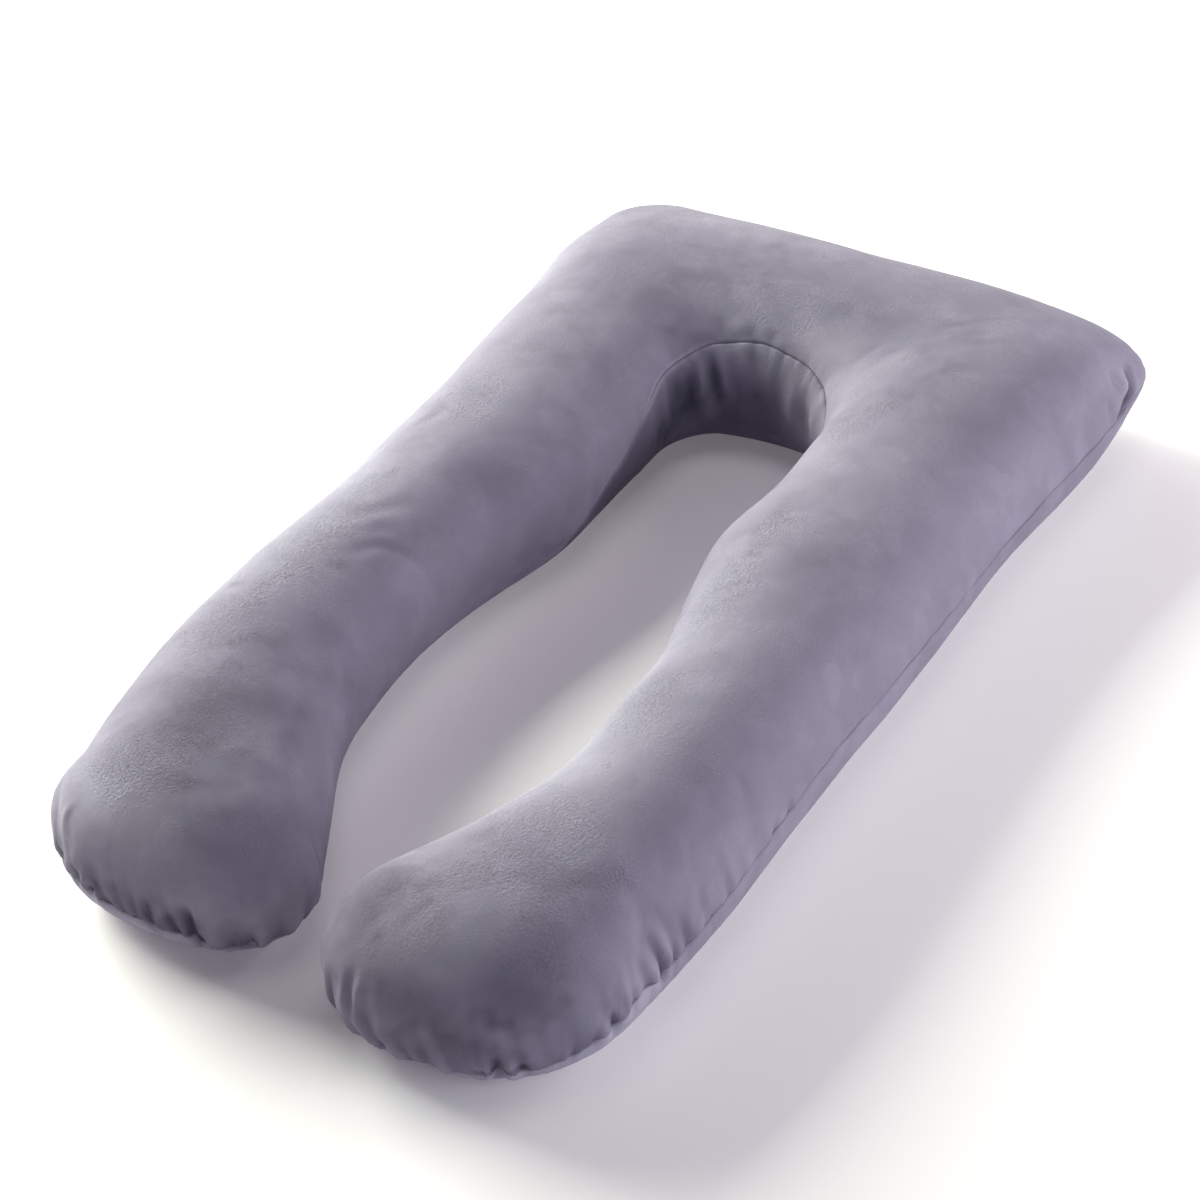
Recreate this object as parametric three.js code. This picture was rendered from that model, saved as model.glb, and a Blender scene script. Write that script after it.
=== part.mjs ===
import * as THREE from 'three';
import { mergeVertices } from 'three/addons/utils/BufferGeometryUtils.js';

// U-shaped pregnancy pillow: one plush cover round one fibre filling, lying on its bottom panel.
// Millimetres, +Z up. The closed bend is at +Y and the two feet are at -Y. The origin is the middle
// of the footprint, on the surface that the pillow lies on.

// Driving dimensions of the filled form
const BACK_EDGE = 648;             // y of the back edge at its two corners
const BACK_BOW = 7;                // how far the middle of the back edge is drawn in
const BEND_DEPTH = 71;             // depth of the arched inner bend behind the last arm section
const BRIDGE_CROWN = 187;          // filled height over the middle of the bridge
const WIDEST_SHARE = 0.45;         // height of the widest line, as a share of the crown
const TOP_FULLNESS = 2.25;         // exponent of the section above that line, where 2 is an ellipse
const BOTTOM_FULLNESS = 3;         // the same below it, squarer because the filling settles there
const SETTLE = 1.1;                // how far the round underside is pressed flat, as a factor
const SEAM_DEPTH = 3;              // how deep the sewn seam draws the cover in
const SEAM_WIDTH = 9;              // half the width of that furrow

// Plush cover
const COVER_COLOUR = 0x8e8a9b;
const COVER_ROUGHNESS = 0.95;

// Arm sections from the feet to the bend: distances of the edges from the middle line.
const ARM_SECTIONS = [
  { y: -530, leftOuter: 302, leftInner: 22, rightInner: 33, rightOuter: 303 },
  { y: -430, leftOuter: 321, leftInner: 74, rightInner: 87, rightOuter: 313 },
  { y: -330, leftOuter: 331, leftInner: 123, rightInner: 119, rightOuter: 319 },
  { y: -230, leftOuter: 333, leftInner: 141, rightInner: 119, rightOuter: 319 },
  { y: -130, leftOuter: 329, leftInner: 144, rightInner: 117, rightOuter: 321 },
  { y: -30, leftOuter: 327, leftInner: 129, rightInner: 95, rightOuter: 327 },
  { y: 70, leftOuter: 331, leftInner: 104, rightInner: 76, rightOuter: 330 },
  { y: 170, leftOuter: 334, leftInner: 101, rightInner: 88, rightOuter: 331 },
  { y: 290, leftOuter: 342, leftInner: 98, rightInner: 90, rightOuter: 334 },
];

// Filled height over the middle of each arm.
const CROWN_SECTIONS = [
  { y: -530, left: 168, right: 167 },
  { y: -230, left: 167, right: 172 },
  { y: 70, left: 170, right: 169 },
  { y: 290, left: 177, right: 174 },
];

// Shoulder sections: the outer edges beside the bend.
const SHOULDER_SECTIONS = [
  { y: 400, leftOuter: 348, rightOuter: 346 },
  { y: 500, leftOuter: 357, rightOuter: 356 },
];

// Back corners: outer edge, radius in plan, and how sharply the two panels are pinched together there.
const CORNERS = {
  left: { edge: 348, radius: 74, pinch: 0.12 },
  right: { edge: 361, radius: 42, pinch: 0.4 },
};
const PINCH_REACH = 110;           // how far round a corner its pinch fades out
const PINCH_TOP = 1.6;             // fullness that a pinch of 1 takes from the upper section
const PINCH_BOTTOM = 4;            // and from the lower one

// Feet: tip in plan, fullness of the rounded end, and heights of the seam at five even steps from the
// inner side over the tip to the outer side. Here and below, these heights are shares of the crown.
const FEET = {
  left: { x: -163, y: -625, fullness: 2.45, seam: [0.12, 0.14, 0.235, 0.29, 0.3] },
  right: { x: 134, y: -650, fullness: 2.35, seam: [0.12, 0.12, 0.14, 0.18, 0.28] },
};

// Height of the seam along the arms. It runs low under the inner sides and climbs into the bend.
const SEAM_SECTIONS = [
  { y: -530, leftOuter: 0.3, leftInner: 0.12, rightInner: 0.12, rightOuter: 0.28 },
  { y: -430, leftOuter: 0.32, leftInner: 0.11, rightInner: 0.11, rightOuter: 0.345 },
  { y: -330, leftOuter: 0.34, leftInner: 0.1, rightInner: 0.1, rightOuter: 0.385 },
  { y: -130, leftOuter: 0.38, leftInner: 0.1, rightInner: 0.1, rightOuter: 0.425 },
  { y: 70, leftOuter: 0.42, leftInner: 0.13, rightInner: 0.12, rightOuter: 0.425 },
  { y: 150, leftOuter: 0.42, leftInner: 0.33, rightInner: 0.2, rightOuter: 0.395 },
  { y: 220, leftOuter: 0.42, leftInner: 0.47, rightInner: 0.34, rightOuter: 0.385 },
  { y: 290, leftOuter: 0.42, leftInner: 0.64, rightInner: 0.47, rightOuter: 0.375 },
];
const BACK_SEAM = 0.47;            // along the back edge
const BEND_SEAM = 0.79;            // at the middle of the inner bend

// Folds that run off the seam. "at" is measured along the edge from a foot's tip, plus towards the
// outer side, or from the middle of the bend, plus towards the right arm. "lean" is the slant along the
// edge for each millimetre up.
const FOLDS = [
  { from: 'leftFoot', at: 140, width: 9, above: 110, below: 12, depth: 5, lean: 0.5 },
  { from: 'leftFoot', at: 104, width: 8, above: 75, below: 12, depth: 6, lean: 0.1 },
  { from: 'leftFoot', at: 80, width: 8, above: 45, below: 10, depth: 5, lean: -0.3 },
  { from: 'leftFoot', at: 61, width: 8, above: 50, below: 12, depth: 6, lean: -0.4 },
  { from: 'leftFoot', at: -11, width: 8, above: 55, below: 10, depth: 5, lean: -0.2 },
  { from: 'leftFoot', at: -61, width: 9, above: 70, below: 12, depth: 7, lean: 0.2 },
  { from: 'leftFoot', at: -101, width: 8, above: 55, below: 10, depth: 4, lean: 0 },
  { from: 'leftFoot', at: -126, width: 8, above: 65, below: 14, depth: 7, lean: 0.1 },
  { from: 'leftFoot', at: -151, width: 9, above: 75, below: 10, depth: 4, lean: 0 },
  { from: 'leftFoot', at: -183, width: 10, above: 85, below: 12, depth: 5, lean: 0 },
  { from: 'leftFoot', at: -228, width: 9, above: 115, below: 12, depth: 4, lean: 0.1 },
  { from: 'rightFoot', at: -110, width: 9, above: 90, below: 12, depth: 5, lean: 0.2 },
  { from: 'rightFoot', at: -80, width: 8, above: 110, below: 12, depth: 6, lean: 0.2 },
  { from: 'rightFoot', at: -36, width: 9, above: 115, below: 12, depth: 7, lean: 0 },
  { from: 'rightFoot', at: -6, width: 8, above: 65, below: 12, depth: 5, lean: 0.1 },
  { from: 'rightFoot', at: 35, width: 8, above: 65, below: 12, depth: 5, lean: 0 },
  { from: 'rightFoot', at: 100, width: 9, above: 55, below: 30, depth: 8, lean: 0 },
  { from: 'rightFoot', at: 164, width: 8, above: 40, below: 10, depth: 4, lean: 0.1 },
  { from: 'rightFoot', at: 195, width: 8, above: 45, below: 10, depth: 5, lean: 0.1 },
  { from: 'rightFoot', at: 216, width: 8, above: 65, below: 12, depth: 7, lean: 0 },
  { from: 'rightFoot', at: 289, width: 9, above: 90, below: 12, depth: 7, lean: -0.3 },
  { from: 'rightFoot', at: 337, width: 9, above: 65, below: 10, depth: 5, lean: -0.4 },
  { from: 'rightFoot', at: 364, width: 11, above: 90, below: 10, depth: 4, lean: -0.3 },
  { from: 'rightFoot', at: 1270, width: 10, above: 75, below: 14, depth: 6, lean: 0.5 },
  { from: 'rightFoot', at: 1305, width: 10, above: 45, below: 10, depth: 5, lean: 0.8 },
  { from: 'bend', at: -88, width: 11, above: 10, below: 100, depth: 4, lean: 0 },
  { from: 'bend', at: -66, width: 9, above: 10, below: 110, depth: 6, lean: -0.3 },
  { from: 'bend', at: 30, width: 12, above: 10, below: 90, depth: 4, lean: -0.4 },
];

// Steps of the faceted form
const ARM_STEPS = 22;              // sections along each arm
const ARM_GRADING = 1.6;           // above 1 sets the sections closer near the gathered feet
const FOOT_STEPS = 42;             // columns round each foot
const SHOULDER_STEPS = 7;
const CORNER_STEPS = 6;
const BACK_STEPS = 12;
const UPPER_ROWS = [0, 0.2, 0.38, 0.54, 0.68, 0.79, 0.88, 0.95];  // shares from the crest to the seam
const LOWER_ROWS = [0, 0.07, 0.18, 0.32, 0.5, 0.72, 1];           // from the seam to the resting face

const SIGNS = { left: -1, right: 1 };
const firstArm = ARM_SECTIONS[0];
const lastArm = ARM_SECTIONS[ARM_SECTIONS.length - 1];

// Smooth curve through one column of a table whose rows are spaced along y.
function column(rows, name) {
  const interpolant = new THREE.CubicInterpolant(rows.map((row) => row.y), rows.map((row) => row[name]), 1);
  return (y) => interpolant.evaluate(y)[0];
}

// One arm's sections, from its foot to the bend.
function armSections(side) {
  const [outer, inner] = [`${side}Outer`, `${side}Inner`];
  const outerEdge = column([...ARM_SECTIONS, ...SHOULDER_SECTIONS], outer);
  const innerEdge = column(ARM_SECTIONS, inner);
  const crown = column(CROWN_SECTIONS, side);
  const outerSeam = column(SEAM_SECTIONS, outer);
  const innerSeam = column(SEAM_SECTIONS, inner);
  const sections = [];
  for (let k = 0; k <= ARM_STEPS; k += 1) {
    const y = firstArm.y + (lastArm.y - firstArm.y) * (k / ARM_STEPS) ** ARM_GRADING;
    sections.push({
      outer: new THREE.Vector2(SIGNS[side] * outerEdge(y), y),
      inner: new THREE.Vector2(SIGNS[side] * innerEdge(y), y),
      crown: crown(y),
      outerSeam: outerSeam(y),
      innerSeam: innerSeam(y),
    });
  }
  return sections;
}

// Outer edge of the shoulder on one side, from the last arm section to the start of the corner.
function shoulderCurve(side) {
  const corner = CORNERS[side];
  const points = [lastArm, ...SHOULDER_SECTIONS].map(
    (row) => new THREE.Vector2(SIGNS[side] * row[`${side}Outer`], row.y),
  );
  points.push(new THREE.Vector2(SIGNS[side] * corner.edge, BACK_EDGE - corner.radius));
  return new THREE.SplineCurve(points);
}

// Rounded back corner, from the shoulder to the back edge.
function cornerCurve(side) {
  const { edge, radius } = CORNERS[side];
  const start = side === 'left' ? Math.PI : 0;
  const clockwise = side === 'left';
  const middle = SIGNS[side] * (edge - radius);
  return new THREE.EllipseCurve(middle, BACK_EDGE - radius, radius, radius, start, Math.PI / 2, clockwise);
}

// Outer edge of the bridge from the left arm round the back to the right arm.
function bridgeOuterPoints() {
  const left = [
    ...shoulderCurve('left').getSpacedPoints(SHOULDER_STEPS).slice(1),
    ...cornerCurve('left').getSpacedPoints(CORNER_STEPS).slice(1),
  ];
  const right = [
    ...shoulderCurve('right').getSpacedPoints(SHOULDER_STEPS).slice(1),
    ...cornerCurve('right').getSpacedPoints(CORNER_STEPS).slice(1),
  ];
  const start = left[left.length - 1];
  const end = right[right.length - 1];
  const drawnIn = new THREE.Vector2((start.x + end.x) / 2, BACK_EDGE - 2 * BACK_BOW);
  const back = new THREE.QuadraticBezierCurve(start, drawnIn, end).getSpacedPoints(BACK_STEPS);
  return [...left, ...back.slice(1, -1), ...right.reverse()];
}

// Share of the whole length at which each point of a line lies.
function lengthShares(points, start, end) {
  const lengths = [start.distanceTo(points[0])];
  for (let k = 1; k < points.length; k += 1) {
    lengths.push(lengths[k - 1] + points[k].distanceTo(points[k - 1]));
  }
  const whole = lengths[lengths.length - 1] + end.distanceTo(points[points.length - 1]);
  return lengths.map((length) => length / whole);
}

// The bridge's sections from the left arm to the right one. Its crown and seams rise from the arms'.
function bridgeSections(leftEnd, rightEnd) {
  const outerPoints = bridgeOuterPoints();
  const shares = lengthShares(outerPoints, leftEnd.outer, rightEnd.outer);
  const middle = leftEnd.inner.clone().add(rightEnd.inner).multiplyScalar(1 / 2);
  const halfGap = leftEnd.inner.distanceTo(rightEnd.inner) / 2;
  const bend = new THREE.EllipseCurve(middle.x, middle.y, halfGap, BEND_DEPTH, Math.PI, 0, true);
  return outerPoints.map((outer, k) => {
    const share = shares[k];
    const swell = Math.sin(Math.PI * share);
    const blend = (name, top) => {
      const base = THREE.MathUtils.lerp(leftEnd[name], rightEnd[name], share);
      return base + (top - base) * swell;
    };
    return {
      outer,
      inner: bend.getPointAt(share),
      crown: blend('crown', BRIDGE_CROWN),
      outerSeam: blend('outerSeam', BACK_SEAM),
      innerSeam: blend('innerSeam', BEND_SEAM),
    };
  });
}

// How hard the cover is pinched at a point of the outer edge, which the two back corners set.
function pinchAt(point) {
  return Object.keys(CORNERS).reduce((sum, side) => {
    const tip = new THREE.Vector2(SIGNS[side] * CORNERS[side].edge, BACK_EDGE);
    return sum + CORNERS[side].pinch * Math.exp(-((point.distanceTo(tip) / PINCH_REACH) ** 2));
  }, 0);
}

// Middle of a section, under its crest.
function spine(section) {
  return section.inner.clone().add(section.outer).multiplyScalar(1 / 2);
}

// One column of the outer or inner side: where its edge is, and what its section is like there.
function sideColumn(section, name) {
  return {
    edge: section[name],
    spine: spine(section),
    crown: section.crown,
    seam: section[`${name}Seam`],
    pinch: name === 'outer' ? pinchAt(section.outer) : 0,
  };
}

// Columns round one foot from its inner side to its outer side: a full rounded end about one crest.
function footColumns(section, side) {
  const foot = FEET[side];
  const middle = spine(section);
  const across = section.inner.clone().sub(middle);
  const along = new THREE.Vector2(foot.x, foot.y).sub(middle);
  const places = foot.seam.map((height, k) => (k * FOOT_STEPS) / (foot.seam.length - 1));
  const seam = new THREE.CubicInterpolant(places, foot.seam, 1);
  const columns = [];
  for (let k = 1; k < FOOT_STEPS; k += 1) {
    const turn = (Math.PI * k) / FOOT_STEPS;
    const sideways = Math.sign(Math.cos(turn)) * Math.abs(Math.cos(turn)) ** (2 / foot.fullness);
    const front = Math.sin(turn) ** (2 / foot.fullness);
    columns.push({
      edge: middle.clone().addScaledVector(across, sideways).addScaledVector(along, front),
      spine: middle,
      crown: section.crown,
      seam: seam.evaluate(k)[0],
      pinch: 0,
    });
  }
  return columns;
}

// All columns in one loop round the outline, and the columns that the folds are measured from.
function outlineColumns() {
  const left = armSections('left');
  const right = armSections('right');
  const bridge = bridgeSections(left[ARM_STEPS], right[ARM_STEPS]);
  const sections = [...left, ...bridge, ...right.reverse()];
  const leftFoot = footColumns(sections[0], 'left');
  const rightFoot = footColumns(sections[sections.length - 1], 'right').reverse();
  const columns = [
    ...leftFoot,
    ...sections.map((section) => sideColumn(section, 'outer')),
    ...rightFoot,
    ...sections.reverse().map((section) => sideColumn(section, 'inner')),
  ];
  const tip = Math.floor(FOOT_STEPS / 2) - 1;
  const bendMiddle = columns.length - sections.length + Math.floor(sections.length / 2);
  const origins = {
    leftFoot: { column: columns.indexOf(leftFoot[tip]), sense: 1 },
    rightFoot: { column: columns.indexOf(rightFoot[tip]), sense: -1 },
    bend: { column: bendMiddle, sense: -1 },
  };
  return { columns, origins };
}

// Exponents of a column's section above and below its widest line.
function fullness(pinch) {
  return { top: TOP_FULLNESS - PINCH_TOP * pinch, bottom: BOTTOM_FULLNESS - PINCH_BOTTOM * pinch };
}

// Point of a section at an angle from the widest line: out from the spine, and up, as shares.
function sectionPoint(turn, exponents) {
  const exponent = 2 / (turn >= 0 ? exponents.top : exponents.bottom);
  const out = Math.max(0, Math.cos(turn)) ** exponent;
  const rise = Math.abs(Math.sin(turn)) ** exponent;
  const up = turn >= 0
    ? WIDEST_SHARE + (1 - WIDEST_SHARE) * rise
    : WIDEST_SHARE * Math.max(0, 1 - SETTLE * rise);
  return { out, up };
}

// Angle at which a section reaches a height, given as a share of its crown.
function turnAtHeight(share, exponents) {
  if (share >= WIDEST_SHARE) {
    const rise = (share - WIDEST_SHARE) / (1 - WIDEST_SHARE);
    return Math.asin(rise ** (exponents.top / 2));
  }
  const drop = (1 - share / WIDEST_SHARE) / SETTLE;
  return -Math.asin(drop ** (exponents.bottom / 2));
}

// Points of one column from the crest over the seam to the middle of the resting face.
function columnPoints(item) {
  const exponents = fullness(item.pinch);
  const seamTurn = turnAtHeight(item.seam, exponents);
  const restTurn = turnAtHeight(0, exponents);
  const turns = [
    ...UPPER_ROWS.map((share) => THREE.MathUtils.lerp(Math.PI / 2, seamTurn, share)),
    ...LOWER_ROWS.map((share) => THREE.MathUtils.lerp(seamTurn, restTurn, share)),
  ];
  const points = turns.map((turn) => {
    const { out, up } = sectionPoint(turn, exponents);
    const plan = item.spine.clone().lerp(item.edge, out);
    return new THREE.Vector3(plan.x, plan.y, item.crown * up);
  });
  points[0].set(item.spine.x, item.spine.y, item.crown);
  points.push(new THREE.Vector3(item.spine.x, item.spine.y, 0));
  return points;
}

// Signed length along a column from its seam, plus upwards.
function heightsOverSeam(points) {
  const seamRow = UPPER_ROWS.length;
  const lengths = [0];
  for (let row = 1; row < points.length; row += 1) {
    lengths.push(lengths[row - 1] + points[row].distanceTo(points[row - 1]));
  }
  return lengths.map((length) => lengths[seamRow] - length);
}

// Length along the edge of each column, from the first one, and the length of the whole loop.
function edgeLengths(columns) {
  const lengths = [0];
  for (let k = 1; k < columns.length; k += 1) {
    lengths.push(lengths[k - 1] + columns[k].edge.distanceTo(columns[k - 1].edge));
  }
  const whole = lengths[lengths.length - 1] + columns[0].edge.distanceTo(columns[columns.length - 1].edge);
  return { lengths, whole };
}

// How far the seam and its folds draw the cover in, at a place along the edge and over the seam.
function drawnIn(place, height, foldPlaces, whole) {
  const furrow = SEAM_DEPTH * Math.exp(-((height / SEAM_WIDTH) ** 2));
  return FOLDS.reduce((sum, fold, k) => {
    const gap = place - foldPlaces[k].place - foldPlaces[k].sense * fold.lean * height;
    const distance = gap - whole * Math.round(gap / whole);
    const reach = height >= 0 ? fold.above : fold.below;
    const fade = Math.max(0, 1 - Math.abs(height) / reach);
    return sum + fold.depth * fade * Math.exp(-((distance / fold.width) ** 2));
  }, furrow);
}

// Triangles between neighbouring columns of the loop.
function loopTriangles(columnCount, rowCount) {
  const index = [];
  for (let k = 0; k < columnCount; k += 1) {
    const here = k * rowCount;
    const next = ((k + 1) % columnCount) * rowCount;
    for (let row = 0; row < rowCount - 1; row += 1) {
      index.push(here + row, next + row, here + row + 1);
      index.push(next + row, next + row + 1, here + row + 1);
    }
  }
  return index;
}

// Index without the triangles that have shrunk to a line where columns meet at a crest.
function withoutSlivers(index) {
  const kept = [];
  for (let k = 0; k < index.length; k += 3) {
    const [a, b, c] = [index[k], index[k + 1], index[k + 2]];
    if (a !== b && b !== c && c !== a) {
      kept.push(a, b, c);
    }
  }
  return kept;
}

// Closed surface of the filled cover.
function pillowGeometry() {
  const { columns, origins } = outlineColumns();
  const { lengths, whole } = edgeLengths(columns);
  const foldPlaces = FOLDS.map((fold) => {
    const { column: origin, sense } = origins[fold.from];
    return { place: lengths[origin] + sense * fold.at, sense };
  });
  const loops = columns.map((item) => columnPoints(item));
  const positions = [];
  const depths = [];
  loops.forEach((points, k) => {
    const heights = heightsOverSeam(points);
    points.forEach((point, row) => {
      positions.push(point.x, point.y, point.z);
      depths.push(drawnIn(lengths[k], heights[row], foldPlaces, whole));
    });
  });
  const form = new THREE.BufferGeometry();
  form.setAttribute('position', new THREE.Float32BufferAttribute(positions, 3));
  form.setAttribute('depth', new THREE.Float32BufferAttribute(depths, 1));
  form.setIndex(loopTriangles(columns.length, loops[0].length));
  return drawIn(form);
}

// Form closed along its crest, with the seam and folds drawn in along the surface's normals.
function drawIn(form) {
  const closed = mergeVertices(form);
  closed.setIndex(withoutSlivers(Array.from(closed.index.array)));
  closed.computeVertexNormals();
  const { position, normal, depth } = closed.attributes;
  const point = new THREE.Vector3();
  const outwards = new THREE.Vector3();
  for (let k = 0; k < position.count; k += 1) {
    outwards.fromBufferAttribute(normal, k);
    point.fromBufferAttribute(position, k).addScaledVector(outwards, -depth.getX(k));
    position.setXYZ(k, point.x, point.y, Math.max(0, point.z));
  }
  closed.deleteAttribute('depth');
  closed.computeVertexNormals();
  closed.computeBoundingBox();
  const middle = closed.boundingBox.getCenter(new THREE.Vector3());
  return closed.translate(-middle.x, -middle.y, 0);
}

const material = new THREE.MeshStandardMaterial({
  color: COVER_COLOUR,
  roughness: COVER_ROUGHNESS,
  metalness: 0,
});

const pillow = new THREE.Mesh(pillowGeometry(), material);
pillow.name = 'pillow';

const object = new THREE.Group();
object.add(pillow);

export default object;
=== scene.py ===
"""Looks of a u-shaped pregnancy pillow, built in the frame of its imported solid.

The pillow is two panels of short-pile plush sewn round their edge and blown up by a fibre filling. It lies on
its bottom panel, with the closed bend at +Y and the two feet at -Y. Sizes are in millimetres up to the point
where a mesh is made, and the scene is in metres.
"""

import logging
import math
from dataclasses import dataclass, field
from enum import Enum
from typing import Any

import bpy
import numpy as np
from mathutils import Matrix, Vector
from mathutils.bvhtree import BVHTree
from mathutils.kdtree import KDTree


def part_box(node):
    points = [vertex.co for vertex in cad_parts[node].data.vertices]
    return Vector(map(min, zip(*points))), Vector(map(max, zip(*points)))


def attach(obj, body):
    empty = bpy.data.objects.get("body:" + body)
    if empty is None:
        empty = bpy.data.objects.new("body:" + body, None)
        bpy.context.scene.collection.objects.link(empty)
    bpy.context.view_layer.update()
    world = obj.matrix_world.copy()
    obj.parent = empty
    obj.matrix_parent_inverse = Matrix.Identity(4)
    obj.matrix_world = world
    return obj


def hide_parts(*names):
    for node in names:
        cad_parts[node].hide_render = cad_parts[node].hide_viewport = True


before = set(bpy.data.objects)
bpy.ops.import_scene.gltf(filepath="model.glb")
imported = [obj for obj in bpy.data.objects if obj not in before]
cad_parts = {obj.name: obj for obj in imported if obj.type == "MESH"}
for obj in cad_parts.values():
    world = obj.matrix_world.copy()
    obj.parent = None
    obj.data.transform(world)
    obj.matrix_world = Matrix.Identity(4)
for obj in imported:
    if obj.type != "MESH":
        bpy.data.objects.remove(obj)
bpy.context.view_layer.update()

Faces = list[tuple[int, ...]]
Tree = bpy.types.NodeTree
Socket = bpy.types.NodeSocket

LOG = logging.getLogger("pillow")
MM = 0.001


class Side(Enum):
    """An arm of the pillow, with the sign of its x."""

    LEFT = -1
    RIGHT = 1


class Origin(Enum):
    """A place that creases and gathers are measured from."""

    LEFT_FOOT = "tip of the left foot"
    RIGHT_FOOT = "tip of the right foot"
    BEND = "middle of the inner bend"
    PLAN = "middle of the footprint"


LEFT, RIGHT, BEND, PLAN = Origin


# Rows of the form's tables


@dataclass(frozen=True)
class ArmSection:
    """Distances of the four arm edges from the middle line, at one place along the arms."""

    y: float
    left_outer: float
    left_inner: float
    right_inner: float
    right_outer: float


@dataclass(frozen=True)
class Crown:
    """Filled height over the middle of each arm, at one place along the arms."""

    y: float
    left: float
    right: float


@dataclass(frozen=True)
class Shoulder:
    """Distances of the two outer edges from the middle line, beside the bend."""

    y: float
    left_outer: float
    right_outer: float


@dataclass(frozen=True)
class SeamHeight:
    """Heights of the seam on the four arm edges, as shares of the crown."""

    y: float
    left_outer: float
    left_inner: float
    right_inner: float
    right_outer: float


@dataclass(frozen=True)
class Corner:
    """A back corner: its outer edge, its radius in plan and how hard the panels are pinched there."""

    edge: float
    radius: float
    pinch: float


@dataclass(frozen=True)
class Foot:
    """A foot: its tip in plan, the fullness of its rounded end and heights of the seam round it.

    The heights are shares of the crown at five even steps from the inner side over the tip to the outer side.
    """

    x: float
    y: float
    fullness: float
    seam: tuple[float, float, float, float, float]


# Curves and waves


def smooth_curve(knots: np.ndarray, values: np.ndarray, at: np.ndarray) -> np.ndarray:
    """Cubic curve through values at rising knots, with slopes from the neighbouring knots.

    Args:
        knots: Places of the values, rising.
        values: Values at the knots.
        at: Places to read the curve at.

    Returns:
        The curve at each of those places.
    """
    slopes = np.gradient(values, knots)
    k = np.clip(np.searchsorted(knots, at) - 1, 0, len(knots) - 2)
    step = knots[k + 1] - knots[k]
    t = (at - knots[k]) / step
    start = values[k] * (1 + 2 * t) * (1 - t) ** 2 + slopes[k] * step * t * (1 - t) ** 2
    end = values[k + 1] * t**2 * (3 - 2 * t) + slopes[k + 1] * step * t**2 * (t - 1)
    return start + end


def table_curve(rows: tuple, name: str, at: np.ndarray) -> np.ndarray:
    """Smooth curve through one column of a table whose rows are spaced along y.

    Args:
        rows: Rows of the table.
        name: The column to read.
        at: Places along y.

    Returns:
        The column's value at each place.
    """
    knots = np.array([row.y for row in rows], float)
    values = np.array([getattr(row, name) for row in rows], float)
    return smooth_curve(knots, values, at)


def arc_lengths(points: np.ndarray) -> np.ndarray:
    """Length along each line of points, from its first point.

    Args:
        points: Points along the last axis but one.

    Returns:
        Lengths, one for each point.
    """
    steps = np.linalg.norm(np.diff(points, axis=-2), axis=-1)
    start = np.zeros((*steps.shape[:-1], 1))
    return np.concatenate([start, np.cumsum(steps, axis=-1)], axis=-1)


def resample(points: np.ndarray, shares: np.ndarray) -> np.ndarray:
    """Points at shares of the length of a line.

    Args:
        points: The line, with close points.
        shares: Shares of its length, from 0 to 1.

    Returns:
        One point for each share.
    """
    lengths = arc_lengths(points)
    return np.stack([np.interp(shares * lengths[-1], lengths, axis) for axis in points.T], axis=-1)


def waves(
    points: np.ndarray,
    wavelength: float,
    seed: int,
    count: int = 28,
    spread: tuple[float, float] = (0.7, 1.5),
) -> np.ndarray:
    """Smooth uneven field made of plane waves with fixed random directions.

    Args:
        points: Places to read the field at, one row each.
        wavelength: Middle wavelength, in the units of the places.
        seed: Seed of the directions, phases and lengths.
        count: Number of waves.
        spread: Range of their lengths, as shares of the middle one.

    Returns:
        The field at each place, mostly from -1 to 1.
    """
    draw = np.random.default_rng(seed)
    directions = draw.normal(size=(count, points.shape[1]))
    directions /= np.linalg.norm(directions, axis=1, keepdims=True)
    lengths = wavelength * draw.uniform(*spread, count)
    phases = draw.uniform(0, 2 * math.pi, count)
    angles = points @ (directions / lengths[:, None]).T * 2 * math.pi + phases
    return np.cos(angles).sum(axis=1) * math.sqrt(0.5 / count)


# Creases and stretches of the edge


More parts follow.
